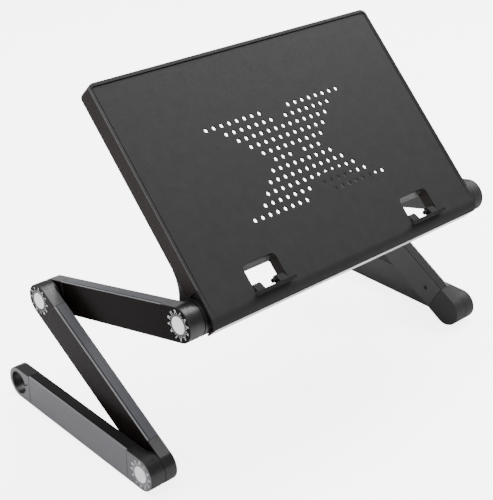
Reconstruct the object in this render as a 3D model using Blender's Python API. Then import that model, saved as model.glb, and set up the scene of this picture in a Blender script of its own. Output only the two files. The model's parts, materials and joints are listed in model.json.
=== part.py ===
"""Folding laptop table: a vented tray panel on two three-segment legs.

World frame in metres: +X to the right, +Y to the back, +Z up, floor at Z = 0. The tray hangs
between the legs, tilted 45 degrees. Each leg folds in planes parallel to YZ: its three segments
lie side by side along X, from the upper one next to the tray to the lowest one outermost.

Every piece is a stack of flat layers: a 2-D region (outlines with holes) per layer, joined into
one closed solid. Leg pieces are stacked along X, the tray along its own normal.
"""
import math

import bpy
from mathutils import Matrix, Vector, geometry

for leftover in list(bpy.data.objects):
    bpy.data.objects.remove(leftover, do_unlink=True)

# ---- driving dimensions (metres, degrees) ---------------------------------------------------
GAP = 0.0003               # working gap between touching pieces

PANEL_WIDTH = 0.420
PANEL_DEPTH = 0.286
PANEL_SKIN = 0.0025        # thickness of the tray's face
WALL = 0.0025              # thickness of the tray's side walls
WALL_DEPTH = 0.0205        # how far the walls reach below the face
RIM_RISE = 0.0011
RIM_WIDTH = 0.0018
CORNER = 0.008
ROLL_LENGTH = 0.0125       # rolled front strip
ROLL_DROP = 0.006
VENT_PITCH = 0.01115
VENT_RADIUS = 0.0025
VENT_ROWS = 11
VENT_COLUMNS = 19
VENT_CENTRE_FROM_BACK = 0.1424
OPENING_CENTRE_X = 0.1225
OPENING_WIDTH = 0.046
OPENING_DEPTH = 0.032
OPENING_FROM_FRONT = 0.017
SKIRT = 0.002

BEAM_LENGTH = 0.237        # joint to joint
BEAM_WIDTH = 0.0395
BEAM_THICK = 0.0155
BEAM_WALL = 0.0018
SLAB_SPACE = 0.0039        # between the broad faces of neighbouring segments
SLAB_PITCH = BEAM_THICK + SLAB_SPACE
EAR_PROUD = 0.0038         # how far the top joint's inner half stands out of the tray's side
UPPER_FACE_X = PANEL_WIDTH / 2 + EAR_PROUD + GAP + SLAB_PITCH    # outer face of the upper segments
CAP_SEAM = 0.0235          # joint axis to the seam with the beam
TONGUE = 0.026
TONGUE_PLAY = 0.0003
SCREW_AT = 0.0420          # joint axis to beam screw

PANEL_TILT = 45.0
UPPER_SLOPE = 15.0
MIDDLE_SLOPE = 30.0

AXIS_FROM_FRONT = 0.0225   # top joint axis: behind the tray's front edge ...
AXIS_BELOW = 0.0230        # ... and below its face

BUTTON_RADIUS = 0.0099
BUTTON_TRAVEL = 0.003
BACK_SKIN = 0.0017         # inner half of a joint, from its closed back: end of the stem bore,
SEAT_FLOOR = 0.0045        # floor of the spring's seat
POCKET_FLOOR = 0.0065      # and floor of the gear's pocket
SEAT_RADIUS = 0.0065
STEM_BORE = 0.0033
STEM_RADIUS = 0.0030
GEAR_TEETH = 24            # one step is 15 degrees
GEAR_TIP = 0.0144
GEAR_ROOT = 0.0130
GEAR_PLAY = 0.00035
SOCKET_RADIUS = 0.0142     # open socket at the foot

STOPPER_TOP = 0.059
STOPPER_BASE = 0.046
STOPPER_RISE = 0.007
LUG_OUTER = 0.0220         # the stopper's lugs, measured from its middle ...
LUG_INNER = 0.0108         # ... and their inner faces
KNUCKLE_END = 0.0060       # free end of the knuckle on the right lug
KNUCKLE_RADIUS = 0.0026
PIN_RADIUS = 0.0014        # hollow spring pins
PIN_BORE = 0.0008

ROUND = 36                 # facets of a full large circle


# ---- small 2-D helpers ------------------------------------------------------------------------
def circle(cx, cy, radius, count=24, phase=0.0):
    """Counter-clockwise ring of points."""
    return [(cx + radius * math.cos(phase + 2 * math.pi * i / count),
             cy + radius * math.sin(phase + 2 * math.pi * i / count)) for i in range(count)]


def rectangle(a0, b0, a1, b1):
    """Counter-clockwise rectangle."""
    return [(a0, b0), (a1, b0), (a1, b1), (a0, b1)]


def arc(cx, cy, radius, start, stop, count):
    """Points along an arc, ends included; angles in degrees."""
    return [(cx + radius * math.cos(math.radians(start + (stop - start) * i / count)),
             cy + radius * math.sin(math.radians(start + (stop - start) * i / count)))
            for i in range(count + 1)]


def rounded_rectangle(a0, b0, a1, b1, front, back, steps=4):
    """Counter-clockwise rectangle with radius `front` on the low-b corners, `back` on the others."""
    return (arc(a1 - front, b0 + front, front, -90, 0, steps)
            + arc(a1 - back, b1 - back, back, 0, 90, steps)
            + arc(a0 + back, b1 - back, back, 90, 180, steps)
            + arc(a0 + front, b0 + front, front, 180, 270, steps))


def teeth(tip, root):
    """Ring of pointed teeth about the origin."""
    return [((tip if i % 2 == 0 else root) * math.cos(math.pi * i / GEAR_TEETH),
             (tip if i % 2 == 0 else root) * math.sin(math.pi * i / GEAR_TEETH))
            for i in range(2 * GEAR_TEETH)]


def signed_area(loop):
    return 0.5 * sum(p[0] * q[1] - q[0] * p[1] for p, q in zip(loop, loop[1:] + loop[:1]))


def inside(region, point):
    """Even-odd test of a point against all loops of a region."""
    x, y = point
    odd = False
    for loop in region:
        for p, q in zip(loop, loop[1:] + loop[:1]):
            if (p[1] > y) != (q[1] > y) and x < (q[0] - p[0]) * (y - p[1]) / (q[1] - p[1]) + p[0]:
                odd = not odd
    return odd


def oriented(region):
    """Loops turned so that material lies to the left of every edge."""
    turned = []
    for index, loop in enumerate(region):
        others = region[:index] + region[index + 1:]
        is_hole = inside(others, loop[0]) if others else False
        turned.append(loop if (signed_area(loop) > 0) != is_hole else loop[::-1])
    return turned


# ---- layered solids -----------------------------------------------------------------------------
class Level:
    """All outline points of one level, cut into triangles that respect every outline."""

    def __init__(self, lower, upper, extra):
        points, edges = [], []
        for loop in lower + upper:
            start = len(points)
            points += loop
            edges += [(start + i, start + (i + 1) % len(loop)) for i in range(len(loop))]
        for p, q in extra:
            edges.append((len(points), len(points) + 1))
            points += [p, q]
        result = geometry.delaunay_2d_cdt([Vector(p) for p in points], edges, [], 0, 1e-7)
        self.points = [tuple(p) for p in result[0]]
        self.triangles = [list(face) for face in result[2]]
        for index, sources in enumerate(result[3]):
            if sources:
                self.points[index] = points[sources[0]]

    def chain(self, p, q):
        """Indices of the points lying on the segment from p to q, in order."""
        length = math.dist(p, q)
        ux, uy = (q[0] - p[0]) / length, (q[1] - p[1]) / length
        found = []
        for index, (x, y) in enumerate(self.points):
            along = (x - p[0]) * ux + (y - p[1]) * uy
            if -2e-7 < along < length + 2e-7 and abs((x - p[0]) * uy - (y - p[1]) * ux) < 2e-7:
                found.append((along, index))
        return [index for _, index in sorted(found)]


def layered(name, levels, regions, place, extra=()):
    """One closed solid from stacked regions.

    `levels` are the heights, `regions` the loops of each layer between two heights, `place` maps
    (a, b, height) to world coordinates. `extra` segments are forced into the triangulation.
    """
    regions = [oriented(region) for region in regions]
    fences = [[]] + regions + [[]]
    grid = [Level(fences[k], fences[k + 1], extra) for k in range(len(levels))]
    offsets, total = [], 0
    for level in grid:
        offsets.append(total)
        total += len(level.points)
    faces = []
    for k, level in enumerate(grid):
        below, above = fences[k], fences[k + 1]
        for triangle in level.triangles:
            centre = (sum(level.points[i][0] for i in triangle) / 3.0,
                      sum(level.points[i][1] for i in triangle) / 3.0)
            has_below, has_above = inside(below, centre), inside(above, centre)
            if has_below != has_above:
                ring = [offsets[k] + i for i in triangle]
                faces.append(ring if has_below else ring[::-1])
    for k, region in enumerate(regions):
        for loop in region:
            for p, q in zip(loop, loop[1:] + loop[:1]):
                bottom = [offsets[k] + i for i in grid[k].chain(p, q)]
                top = [offsets[k + 1] + i for i in grid[k + 1].chain(p, q)]
                faces.append(bottom + top[::-1])
    vertices = [place(x, y, levels[k]) for k, level in enumerate(grid) for x, y in level.points]
    used = sorted({i for face in faces for i in face})
    renumber = {old: new for new, old in enumerate(used)}
    vertices = [vertices[i] for i in used]
    faces = [[renumber[i] for i in face] for face in faces]
    origin, da, db, dh = (Vector(place(*p)) for p in ((0, 0, 0), (1e-3, 0, 0), (0, 1e-3, 0), (0, 0, 1e-3)))
    if (da - origin).cross(db - origin).dot(dh - origin) < 0:
        faces = [face[::-1] for face in faces]
    mesh = bpy.data.meshes.new(name)
    mesh.from_pydata(vertices, [], faces)
    mesh.validate()
    body = bpy.data.objects.new(name, mesh)
    bpy.context.scene.collection.objects.link(body)
    return body


# ---- where the joints are ------------------------------------------------------------------------
def turned(point, distance, angle):
    return (point[0] + distance * math.cos(math.radians(angle)),
            point[1] + distance * math.sin(math.radians(angle)))


def hinge_lines(front_y):
    """(Y, Z) of the front joint, foot socket, rear joint and top joint."""
    front = (front_y, BEAM_WIDTH / 2)
    rear = turned(front, BEAM_LENGTH, MIDDLE_SLOPE)
    return front, turned(front, BEAM_LENGTH, 0.0), rear, turned(rear, BEAM_LENGTH, 180.0 - UPPER_SLOPE)


def middle_of_depth():
    """Y halfway between the tray's foremost edge and the end of the foot, front joint at 0."""
    _, foot, _, top = hinge_lines(0.0)
    tilt = math.radians(PANEL_TILT)
    foremost = top[0] - AXIS_FROM_FRONT * math.cos(tilt) - (AXIS_BELOW - ROLL_DROP) * math.sin(tilt)
    return (foremost + foot[0] + BEAM_WIDTH / 2) / 2


FRONT_JOINT, FOOT_SOCKET, REAR_JOINT, TOP_JOINT = hinge_lines(-middle_of_depth())
SIDES = {"left": -1.0, "right": 1.0}


def leg_frame(side, joint, angle, outer_face):
    """Place for leg pieces: a runs from the joint along its segment, height runs inward from the
    outer face."""
    cos, sin = math.cos(math.radians(angle)), math.sin(math.radians(angle))

    def place(a, b, height):
        return (SIDES[side] * (outer_face - height),
                joint[0] + a * cos - b * sin, joint[1] + a * sin + b * cos)
    return place


def tray_frame(s, h):
    """(Y, Z) of a tray point: s up the slope from the front edge, h out of the face."""
    cos, sin = math.cos(math.radians(PANEL_TILT)), math.sin(math.radians(PANEL_TILT))
    s, h = s - AXIS_FROM_FRONT, h + AXIS_BELOW
    return (TOP_JOINT[0] + s * cos - h * sin, TOP_JOINT[1] + s * sin + h * cos)


# ---- tray ------------------------------------------------------------------------------------------
def vent_centres():
    """Square lattice of vents in an hourglass shape, widest at its front and back rows."""
    gaps = {0: (0, 7), 1: (2, 8), 2: (3, 9), 3: (4, 9), 4: (5, 9), 5: (6, 8)}
    centre_s = PANEL_DEPTH - VENT_CENTRE_FROM_BACK
    for row in range(VENT_ROWS):
        first, last = gaps[min(row, VENT_ROWS - 1 - row)]
        for column in range(VENT_COLUMNS):
            if first <= min(column, VENT_COLUMNS - 1 - column) <= last:
                yield ((column - (VENT_COLUMNS - 1) / 2) * VENT_PITCH,
                       centre_s + ((VENT_ROWS - 1) / 2 - row) * VENT_PITCH)


def opening_box(side):
    """(x0, s0, x1, s1) of one stopper opening."""
    centre = SIDES[side] * OPENING_CENTRE_X
    return (centre - OPENING_WIDTH / 2, OPENING_FROM_FRONT,
            centre + OPENING_WIDTH / 2, OPENING_FROM_FRONT + OPENING_DEPTH)


NOTCH = AXIS_FROM_FRONT + BEAM_WIDTH / 2 + 0.0012   # the side walls stop here for the barrels
PIN_S = OPENING_FROM_FRONT + 0.0053                 # stopper pin line
PIN_H = -0.0048


def build_tray():
    half = PANEL_WIDTH / 2
    outline = rounded_rectangle(-half, 0, half, PANEL_DEPTH, 0.003, CORNER)
    inner = rounded_rectangle(-half + WALL, WALL, half - WALL, PANEL_DEPTH - WALL, 0.001, CORNER - WALL)
    vents = [circle(x, s, VENT_RADIUS, 8, math.pi / 8) for x, s in vent_centres()]
    openings = [rounded_rectangle(*opening_box(side), 0.001, 0.0055, 3) for side in SIDES]

    # walls: a U around the back, a strip across the front between the two notches
    inner_back = [p for p in inner if p[1] > PANEL_DEPTH / 2]
    outer_back = [p for p in outline if p[1] > PANEL_DEPTH / 2]
    u_wall = ([(-half + WALL, NOTCH), (-half, NOTCH)] + outer_back[::-1]
              + [(half, NOTCH), (half - WALL, NOTCH)] + inner_back)
    strip = rectangle(-half + 0.0032, 0.0, half - 0.0032, WALL)

    def skirt(side, slotted):
        x0, s0, x1, s1 = opening_box(side)
        hole = rounded_rectangle(x0, s0, x1, s1, 0.001, 0.0055, 3)
        shell = rounded_rectangle(x0 - SKIRT, s0 - SKIRT, x1 + SKIRT, s1 + SKIRT, 0.003, 0.0075, 3)
        if not slotted:
            return [shell, hole]
        low, high = PIN_S - PIN_RADIUS - GAP, PIN_S + PIN_RADIUS + GAP
        loops = []
        for keep, edge, ends in ((lambda s: s < low, low, (1, 0)), (lambda s: s > high, high, (0, 1))):
            outer_part = [p for p in shell if keep(p[1])]
            inner_part = [p for p in hole if keep(p[1])]
            outer_part = sorted_run(outer_part, shell)
            inner_part = sorted_run(inner_part, hole)
            loops.append([(outer_part[0][0], edge)] + outer_part + [(outer_part[-1][0], edge)]
                         + [(inner_part[-1][0], edge)] + inner_part[::-1] + [(inner_part[0][0], edge)])
        return loops

    def sorted_run(part, ring):
        """The kept points of a ring as one unbroken run."""
        kept = set(part)
        start = next(i for i in range(len(ring)) if ring[i] in kept and ring[i - 1] not in kept)
        return [ring[(start + i) % len(ring)] for i in range(len(part))]

    slot_top = PIN_H + PIN_RADIUS + GAP
    plain = [u_wall] + [loop for side in SIDES for loop in skirt(side, False)]
    slotted = [u_wall] + [loop for side in SIDES for loop in skirt(side, True)]
    rim_inner = rounded_rectangle(-half + RIM_WIDTH, -0.01, half - RIM_WIDTH, PANEL_DEPTH - RIM_WIDTH,
                                  0.001, CORNER - RIM_WIDTH)
    rim_stop = ROLL_LENGTH + 0.001
    rim = ([(-half + RIM_WIDTH, rim_stop), (-half, rim_stop)] + outer_back[::-1]
           + [(half, rim_stop), (half - RIM_WIDTH, rim_stop)]
           + [p for p in rim_inner if p[1] > PANEL_DEPTH / 2])

    def place(x, s, h):
        """Tray frame to world, with the front strip rolled down."""
        if s < ROLL_LENGTH:
            h -= ROLL_DROP * ((ROLL_LENGTH - s) / ROLL_LENGTH) ** 2
        y, z = tray_frame(s, h)
        return (x, y, z)

    folds = [((-half, ROLL_LENGTH * k / 3), (half, ROLL_LENGTH * k / 3)) for k in (1, 2, 3)]
    face = [outline] + openings + vents
    return layered("tray", [-WALL_DEPTH, slot_top, -PANEL_SKIN, 0.0, RIM_RISE],
                   [slotted + [strip], plain + [strip], face, [rim]], place, folds)


def build_ear(side):
    """Bracket inside the side wall, carrying the inner half of the top joint."""
    radius = BEAM_WIDTH / 2
    axis = (AXIS_FROM_FRONT, -AXIS_BELOW)
    inner_face = UPPER_FACE_X - SLAB_PITCH - GAP - BEAM_THICK     # X of the plain back
    joint_face = UPPER_FACE_X - SLAB_PITCH - GAP
    wall_inside = PANEL_WIDTH / 2 - WALL - GAP
    top = -PANEL_SKIN - GAP
    barrel = arc(*axis, radius, -90, 90, ROUND // 2)
    sweep = [(0.0980, top), (0.0980, -0.0120), (0.0900, -0.0170), (0.0760, -0.0206), (0.0680, -0.0222),
             (0.0600, -0.0256), (0.0530, -0.0305), (0.0470, -0.0365), (0.0400, -0.0405), (0.0320, -0.0425)]
    lower = sweep[::-1]
    arch = arc(*axis, radius, 90, 270, ROUND // 2)
    bracket = lower[:-1] + [(0.0980, top), (AXIS_FROM_FRONT + 0.004, top)] + arch
    # beside the side wall only the part below the wall and ahead of the notch is full width
    below_wall = -WALL_DEPTH - GAP
    ahead = NOTCH - GAP
    flush = ([p for p in lower if p[1] < below_wall] + [(0.0758, below_wall), (ahead, below_wall),
             (ahead, -0.0150)] + arc(*axis, radius, 22, 90, 9) + arch[1:])
    full = circle(*axis, radius, ROUND)
    pocket = circle(*axis, GEAR_TIP + 0.0005, ROUND)
    seat = circle(*axis, SEAT_RADIUS, 24)
    bore = circle(*axis, STEM_BORE, 16)
    levels = sorted([inner_face, inner_face + BACK_SKIN, inner_face + SEAT_FLOOR,
                     inner_face + POCKET_FLOOR, wall_inside, PANEL_WIDTH / 2, joint_face])
    regions = []
    for low, high in zip(levels, levels[1:]):
        middle = (low + high) / 2
        outline = bracket if middle < wall_inside else flush if middle < PANEL_WIDTH / 2 else full
        depth = middle - inner_face
        hole = (() if depth < BACK_SKIN else (bore,) if depth < SEAT_FLOOR
                else (seat,) if depth < POCKET_FLOOR else (pocket,))
        regions.append([outline, *hole])

    def place(s, h, x):
        y, z = tray_frame(s, h)
        return (SIDES[side] * x, y, z)
    return layered(f"{side}_hinge_ear", levels, regions, place)


def build_stopper(side):
    """Lip standing on the tray's front strip, with two lugs and a knuckle inside the opening."""
    centre = SIDES[side] * OPENING_CENTRE_X
    front = OPENING_FROM_FRONT
    lip = [(front - 0.0040, GAP), (front - 0.0006, GAP), (front + 0.0002, STOPPER_RISE),
           (front - 0.0024, STOPPER_RISE)]
    lug_radius = 0.0046
    lug = arc(PIN_S, PIN_H, lug_radius, -180, 60, 16)
    lugged = ([(front - 0.0040, GAP), (front + 0.0004, GAP), (front + 0.0006, -0.0012)]
              + lug + [(front + 0.0002, 0.0022), (front + 0.0002, STOPPER_RISE), (front - 0.0024, STOPPER_RISE)])
    pin_bore = circle(PIN_S, PIN_H, PIN_RADIUS + 0.0001, 16)
    knuckle = circle(PIN_S, PIN_H, KNUCKLE_RADIUS, 16)
    half = STOPPER_TOP / 2
    levels = [-half, -LUG_OUTER, -LUG_INNER, KNUCKLE_END, LUG_INNER, LUG_OUTER, half]
    regions = [[lip], [lugged, pin_bore], [lip], [lip, knuckle, pin_bore], [lugged, pin_bore], [lip]]

    def place(s, h, x):
        if abs(x) > STOPPER_BASE / 2:
            flare = STOPPER_BASE / 2 + (abs(x) - STOPPER_BASE / 2) * h / STOPPER_RISE
            x = math.copysign(flare, x)
        y, z = tray_frame(s, h)
        return (centre + x, y, z)
    return layered(f"{side}_stopper", levels, regions, place)


def build_stopper_pin(side, lug, inner_end):
    """Hollow spring pin through one lug into the skirt; `lug` is -1 or 1, the sign of its X."""
    centre = SIDES[side] * OPENING_CENTRE_X
    ends = sorted((lug * inner_end, lug * (OPENING_WIDTH / 2 + SKIRT - 0.0002)))
    tube = [circle(PIN_S, PIN_H, PIN_RADIUS, 16), circle(PIN_S, PIN_H, PIN_BORE, 12)]
    name = f"{side}_stopper_{'right' if lug > 0 else 'left'}_pin"

    def place(s, h, x):
        y, z = tray_frame(s, h)
        return (centre + x, y, z)
    return layered(name, ends, [tube], place)


# ---- leg pieces ------------------------------------------------------------------------------------
def cap_outline(tongue):
    """Round joint end, straight to the seam, optionally with the tongue that enters the beam."""
    radius = BEAM_WIDTH / 2
    reach = radius - BEAM_WALL - TONGUE_PLAY
    shoulder = [(CAP_SEAM, -radius), (CAP_SEAM, -reach)]
    if tongue:
        shoulder += [(CAP_SEAM + TONGUE - 0.002, -reach), (CAP_SEAM + TONGUE, -reach + 0.002),
                     (CAP_SEAM + TONGUE, reach - 0.002), (CAP_SEAM + TONGUE - 0.002, reach)]
    shoulder += [(CAP_SEAM, reach), (CAP_SEAM, radius)]
    return shoulder + arc(0, 0, radius, 90, 270, ROUND // 2)


TONGUE_OUT = BEAM_WALL + TONGUE_PLAY
TONGUE_IN = BEAM_THICK - BEAM_WALL - TONGUE_PLAY
BUTTON_SKIN = 0.0026       # thickness of the face around a button


SCREW_BORE_START = BEAM_THICK / 2 - 0.00025


def screw_bore():
    return circle(SCREW_AT, 0, 0.0018, 12)


def build_button_cap(name, place):
    """Outer half of a joint: button hole in its face, toothed pocket behind, raised boss inside."""
    hole = circle(0, 0, BUTTON_RADIUS + 0.0003, 32)
    pocket = teeth(GEAR_TIP + GEAR_PLAY, GEAR_ROOT + GEAR_PLAY)
    plain, tongued = cap_outline(False), cap_outline(True)
    boss = circle(0, 0, BEAM_WIDTH / 2 - 0.0003, ROUND)
    levels = [0.0, TONGUE_OUT, BUTTON_SKIN, SCREW_BORE_START, TONGUE_IN, BEAM_THICK, SLAB_PITCH - GAP]
    regions = [[plain, hole], [tongued, hole], [tongued, pocket], [tongued, pocket, screw_bore()],
               [plain, pocket], [boss, pocket]]
    return layered(name, levels, regions, place)


def build_plain_cap(name, place):
    """Inner half of a joint: smooth pocket for the gear, spring seat and stem bore, closed back."""
    pocket = circle(0, 0, GEAR_TIP + 0.0005, ROUND)
    seat = circle(0, 0, SEAT_RADIUS, 24)
    bore = circle(0, 0, STEM_BORE, 16)
    plain, tongued = cap_outline(False), cap_outline(True)
    levels = [0.0, TONGUE_OUT, SCREW_BORE_START, BEAM_THICK - POCKET_FLOOR, BEAM_THICK - SEAT_FLOOR,
              TONGUE_IN, BEAM_THICK - BACK_SKIN, BEAM_THICK]
    regions = [[plain, pocket], [tongued, pocket], [tongued, pocket, screw_bore()],
               [tongued, seat, screw_bore()], [tongued, bore, screw_bore()], [plain, bore], [plain]]
    return layered(name, levels, regions, place)


def build_foot_cap(name, place):
    """Unused joint end: open round socket with one key rib on the beam's side."""
    rib = 0.0016
    start = math.degrees(math.asin(rib / SOCKET_RADIUS))
    socket = arc(0, 0, SOCKET_RADIUS, start, 360 - start, 40) + [(0.0088, -rib), (0.0088, rib)]
    plain, tongued = cap_outline(False), cap_outline(True)
    levels = [0.0, TONGUE_OUT, SCREW_BORE_START, TONGUE_IN, BEAM_THICK]
    regions = [[plain, socket], [tongued, socket], [tongued, socket, screw_bore()], [plain, socket]]
    return layered(name, levels, regions, place)


def build_beam(name, place):
    """Hollow extrusion between two caps: a fine groove runs along both narrow faces."""
    radius = BEAM_WIDTH / 2
    low, high = CAP_SEAM + GAP, BEAM_LENGTH - CAP_SEAM - GAP
    full = rectangle(low, -radius, high, radius)
    screws = [circle(SCREW_AT, 0, 0.0029, 16), circle(BEAM_LENGTH - SCREW_AT, 0, 0.0029, 16)]

    def flanges(outer):
        return [rectangle(low, radius - BEAM_WALL, high, outer), rectangle(low, -outer, high, -radius + BEAM_WALL)]
    levels = [0.0, BEAM_WALL, 0.0024, 0.0032, BEAM_THICK - BEAM_WALL, BEAM_THICK]
    regions = [[full], flanges(radius), flanges(radius - 0.0004), flanges(radius), [full] + screws]
    return layered(name, levels, regions, place)


def build_screw(name, place):
    """Countersunk screw from the inner face of the beam into a cap's tongue."""
    levels = [SCREW_BORE_START + 0.001, BEAM_THICK - BEAM_WALL + 0.0001, BEAM_THICK - 0.0002]
    return layered(name, levels, [[circle(SCREW_AT, 0, 0.0015, 12)], [circle(SCREW_AT, 0, 0.0026, 16)]], place)


def build_button(name, place):
    """Push button: face disc, retaining flange behind the cap's face."""
    levels = [-BUTTON_PROUD, BUTTON_SKIN + GAP, BUTTON_BACK]
    disc, flange = circle(0, 0, BUTTON_RADIUS, 32), circle(0, 0, GEAR_ROOT - 0.0006, 32)
    return layered(name, levels, [[disc], [flange]], place)


BUTTON_PROUD = 0.0006
BUTTON_BACK = 0.0050
GEAR_START = BUTTON_BACK + GAP
RECESS_FLOOR = 0.0160      # spring recess in the gear
GEAR_END = SLAB_PITCH + BEAM_THICK - POCKET_FLOOR - BUTTON_TRAVEL - 0.0010
STEM_END = SLAB_PITCH + BEAM_THICK - BACK_SKIN - BUTTON_TRAVEL - 0.0004


def build_gear(name, place):
    """Toothed barrel bridging both halves, with a spring recess and a guide stem."""
    toothed = teeth(GEAR_TIP, GEAR_ROOT)
    recess = circle(0, 0, 0.0070, 24)
    stem = circle(0, 0, STEM_RADIUS, 16)
    levels = [GEAR_START, RECESS_FLOOR, GEAR_END, STEM_END]
    return layered(name, levels, [[toothed], [toothed, recess, stem], [stem]], place)


def build_spring(name, place):
    """Compression spring around the stem: a coil of round wire with closed ends."""
    turns, per_turn, sides = 4, 9, 4
    coil, wire = 0.0048, 0.00055
    low, high = RECESS_FLOOR + GAP + wire, SLAB_PITCH + BEAM_THICK - SEAT_FLOOR - wire
    vertices = []
    steps = turns * per_turn
    for i in range(steps + 1):
        share = i / steps
        angle = 2 * math.pi * i / per_turn
        height = low + (high - low) * (share - math.sin(2 * math.pi * share) / (2 * math.pi) * 0.55)
        for j in range(sides):
            around = 2 * math.pi * j / sides
            radius = coil + wire * math.cos(around)
            vertices.append(place(radius * math.cos(angle), radius * math.sin(angle),
                                  height + wire * math.sin(around)))
    faces = [[i * sides + j, (i + 1) * sides + j, (i + 1) * sides + (j + 1) % sides, i * sides + (j + 1) % sides]
             for i in range(steps) for j in range(sides)]
    faces += [list(range(sides)), [steps * sides + j for j in range(sides)][::-1]]
    origin, da, db, dh = (Vector(place(*p)) for p in ((0, 0, 0), (1e-3, 0, 0), (0, 1e-3, 0), (0, 0, 1e-3)))
    if (da - origin).cross(db - origin).dot(dh - origin) < 0:
        faces = [face[::-1] for face in faces]
    mesh = bpy.data.meshes.new(name)
    mesh.from_pydata(vertices, [], faces)
    body = bpy.data.objects.new(name, mesh)
    bpy.context.scene.collection.objects.link(body)
    return body


# ---- assembly ----------------------------------------------------------------------------------------
FINISHES = {
    # last word of a piece's name: (linear colour, roughness, metallic)
    "tray": ((0.055, 0.055, 0.058), 0.60, 0.0),
    "stopper": ((0.055, 0.055, 0.058), 0.50, 0.0),
    "ear": ((0.05, 0.05, 0.05), 0.45, 0.0),
    "cap": ((0.05, 0.05, 0.05), 0.45, 0.0),
    "beam": ((0.07, 0.065, 0.065), 0.35, 0.9),
    "button": ((0.82, 0.82, 0.84), 0.30, 1.0),
    "gear": ((0.75, 0.74, 0.70), 0.50, 0.0),
    "pin": ((0.45, 0.45, 0.46), 0.35, 1.0),
    "screw": ((0.45, 0.45, 0.46), 0.35, 1.0),
    "spring": ((0.45, 0.45, 0.46), 0.35, 1.0),
}


def paint(body):
    """Give a piece a material of its own."""
    colour, roughness, metallic = FINISHES[body.name.split("_")[-1]]
    material = bpy.data.materials.new(f"{body.name}_finish")
    material.use_nodes = True
    shader = material.node_tree.nodes["Principled BSDF"]
    shader.inputs["Base Color"].default_value = (*colour, 1.0)
    shader.inputs["Roughness"].default_value = roughness
    shader.inputs["Metallic"].default_value = metallic
    body.data.materials.append(material)


def world_place(empty):
    """World position of an empty, up its chain of parents."""
    return empty.location + (world_place(empty.parent) if empty.parent else Vector())


def add_axis(name, point, parent=None):
    """Empty on a joint's axis, for the pieces that turn about it."""
    axis = bpy.data.objects.new(name, None)
    axis.parent = parent
    axis.location = Vector(point) - (world_place(parent) if parent else Vector())
    bpy.context.scene.collection.objects.link(axis)
    return axis


def hang(body, axis):
    """Move a piece's origin onto its joint's axis and parent it there."""
    body.data.transform(Matrix.Translation(-world_place(axis)))
    body.parent = axis


def build_leg(side):
    """Three segments with six caps, and the buttons, gears and springs of three joints."""
    faces = [UPPER_FACE_X, UPPER_FACE_X + SLAB_PITCH, UPPER_FACE_X + 2 * SLAB_PITCH]
    segments = (
        # name, joint, outer face, end with the button, its angle, end without, builder of that cap
        ("upper", "top", faces[0], "front", TOP_JOINT, -UPPER_SLOPE, "rear", REAR_JOINT, build_plain_cap),
        ("middle", "rear", faces[1], "rear", REAR_JOINT, 180.0 + MIDDLE_SLOPE, "front", FRONT_JOINT,
         build_plain_cap),
        ("lowest", "front", faces[2], "front", FRONT_JOINT, 0.0, "foot", FOOT_SOCKET, build_foot_cap),
    )
    axis = None
    for segment, joint, face, button_end, point, angle, other_end, other_point, other_cap in segments:
        near = leg_frame(side, point, angle, face)
        far = leg_frame(side, other_point, angle + 180.0, face)
        prefix = f"{side}_{segment}"
        axis = add_axis(f"{side}_{joint}_axis", near(0.0, 0.0, 0.0), axis)
        for body in (build_beam(f"{prefix}_beam", near),
                     build_button_cap(f"{prefix}_{button_end}_cap", near),
                     other_cap(f"{prefix}_{other_end}_cap", far),
                     build_screw(f"{prefix}_{button_end}_screw", near),
                     build_screw(f"{prefix}_{other_end}_screw", far),
                     build_button(f"{side}_{joint}_button", near),
                     build_gear(f"{side}_{joint}_gear", near),
                     build_spring(f"{side}_{joint}_spring", near)):
            hang(body, axis)


build_tray()
for side_name in SIDES:
    build_ear(side_name)
    pin_line = add_axis(f"{side_name}_stopper_axis",
                        (SIDES[side_name] * OPENING_CENTRE_X, *tray_frame(PIN_S, PIN_H)))
    hang(build_stopper(side_name), pin_line)
    build_stopper_pin(side_name, -1, LUG_INNER + 0.0004)
    build_stopper_pin(side_name, 1, KNUCKLE_END + 0.0004)
    build_leg(side_name)
for piece in bpy.data.objects:
    if piece.type == "MESH":
        paint(piece)
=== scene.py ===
"""Looks of a folding laptop table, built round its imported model.

World frame in metres: +X along the hinge lines, +Y to the back, +Z up, floor at Z = 0. The tray
has its own frame (across, up the slope, out of the face); each leg segment has one too (along the
segment from its button joint, across it, inward from its outer face).

Every new piece is a set of grids of points worked out with numpy: a profile carried along an
outline, turned about an axis or swept along a length. Grids meet in equal points, which are
merged. This closes every new piece but the tray's panel: its flat parts leave a small gap at each
front corner, and seams of no width at the two back ones.
"""
import json
import logging
import math
from dataclasses import dataclass, field
from enum import Enum

import bmesh
import bpy
import numpy as np
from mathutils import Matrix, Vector, geometry


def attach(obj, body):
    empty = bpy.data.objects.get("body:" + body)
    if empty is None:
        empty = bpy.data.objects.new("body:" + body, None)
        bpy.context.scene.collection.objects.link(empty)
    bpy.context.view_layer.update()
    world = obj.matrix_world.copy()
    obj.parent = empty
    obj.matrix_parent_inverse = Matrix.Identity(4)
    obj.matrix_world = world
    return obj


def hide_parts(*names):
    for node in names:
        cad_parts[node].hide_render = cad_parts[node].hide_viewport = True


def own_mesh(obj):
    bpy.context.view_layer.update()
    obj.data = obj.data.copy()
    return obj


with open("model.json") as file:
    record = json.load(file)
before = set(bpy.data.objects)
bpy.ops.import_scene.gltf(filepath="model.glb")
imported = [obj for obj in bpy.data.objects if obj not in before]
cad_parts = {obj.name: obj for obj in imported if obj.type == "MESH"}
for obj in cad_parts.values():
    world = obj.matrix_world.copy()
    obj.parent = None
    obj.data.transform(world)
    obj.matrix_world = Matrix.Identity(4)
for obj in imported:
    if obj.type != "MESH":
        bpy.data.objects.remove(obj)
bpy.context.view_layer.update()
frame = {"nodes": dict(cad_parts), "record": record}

logging.basicConfig(level=logging.INFO, format="%(message)s")
LOG = logging.getLogger("laptop_table")

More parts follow.
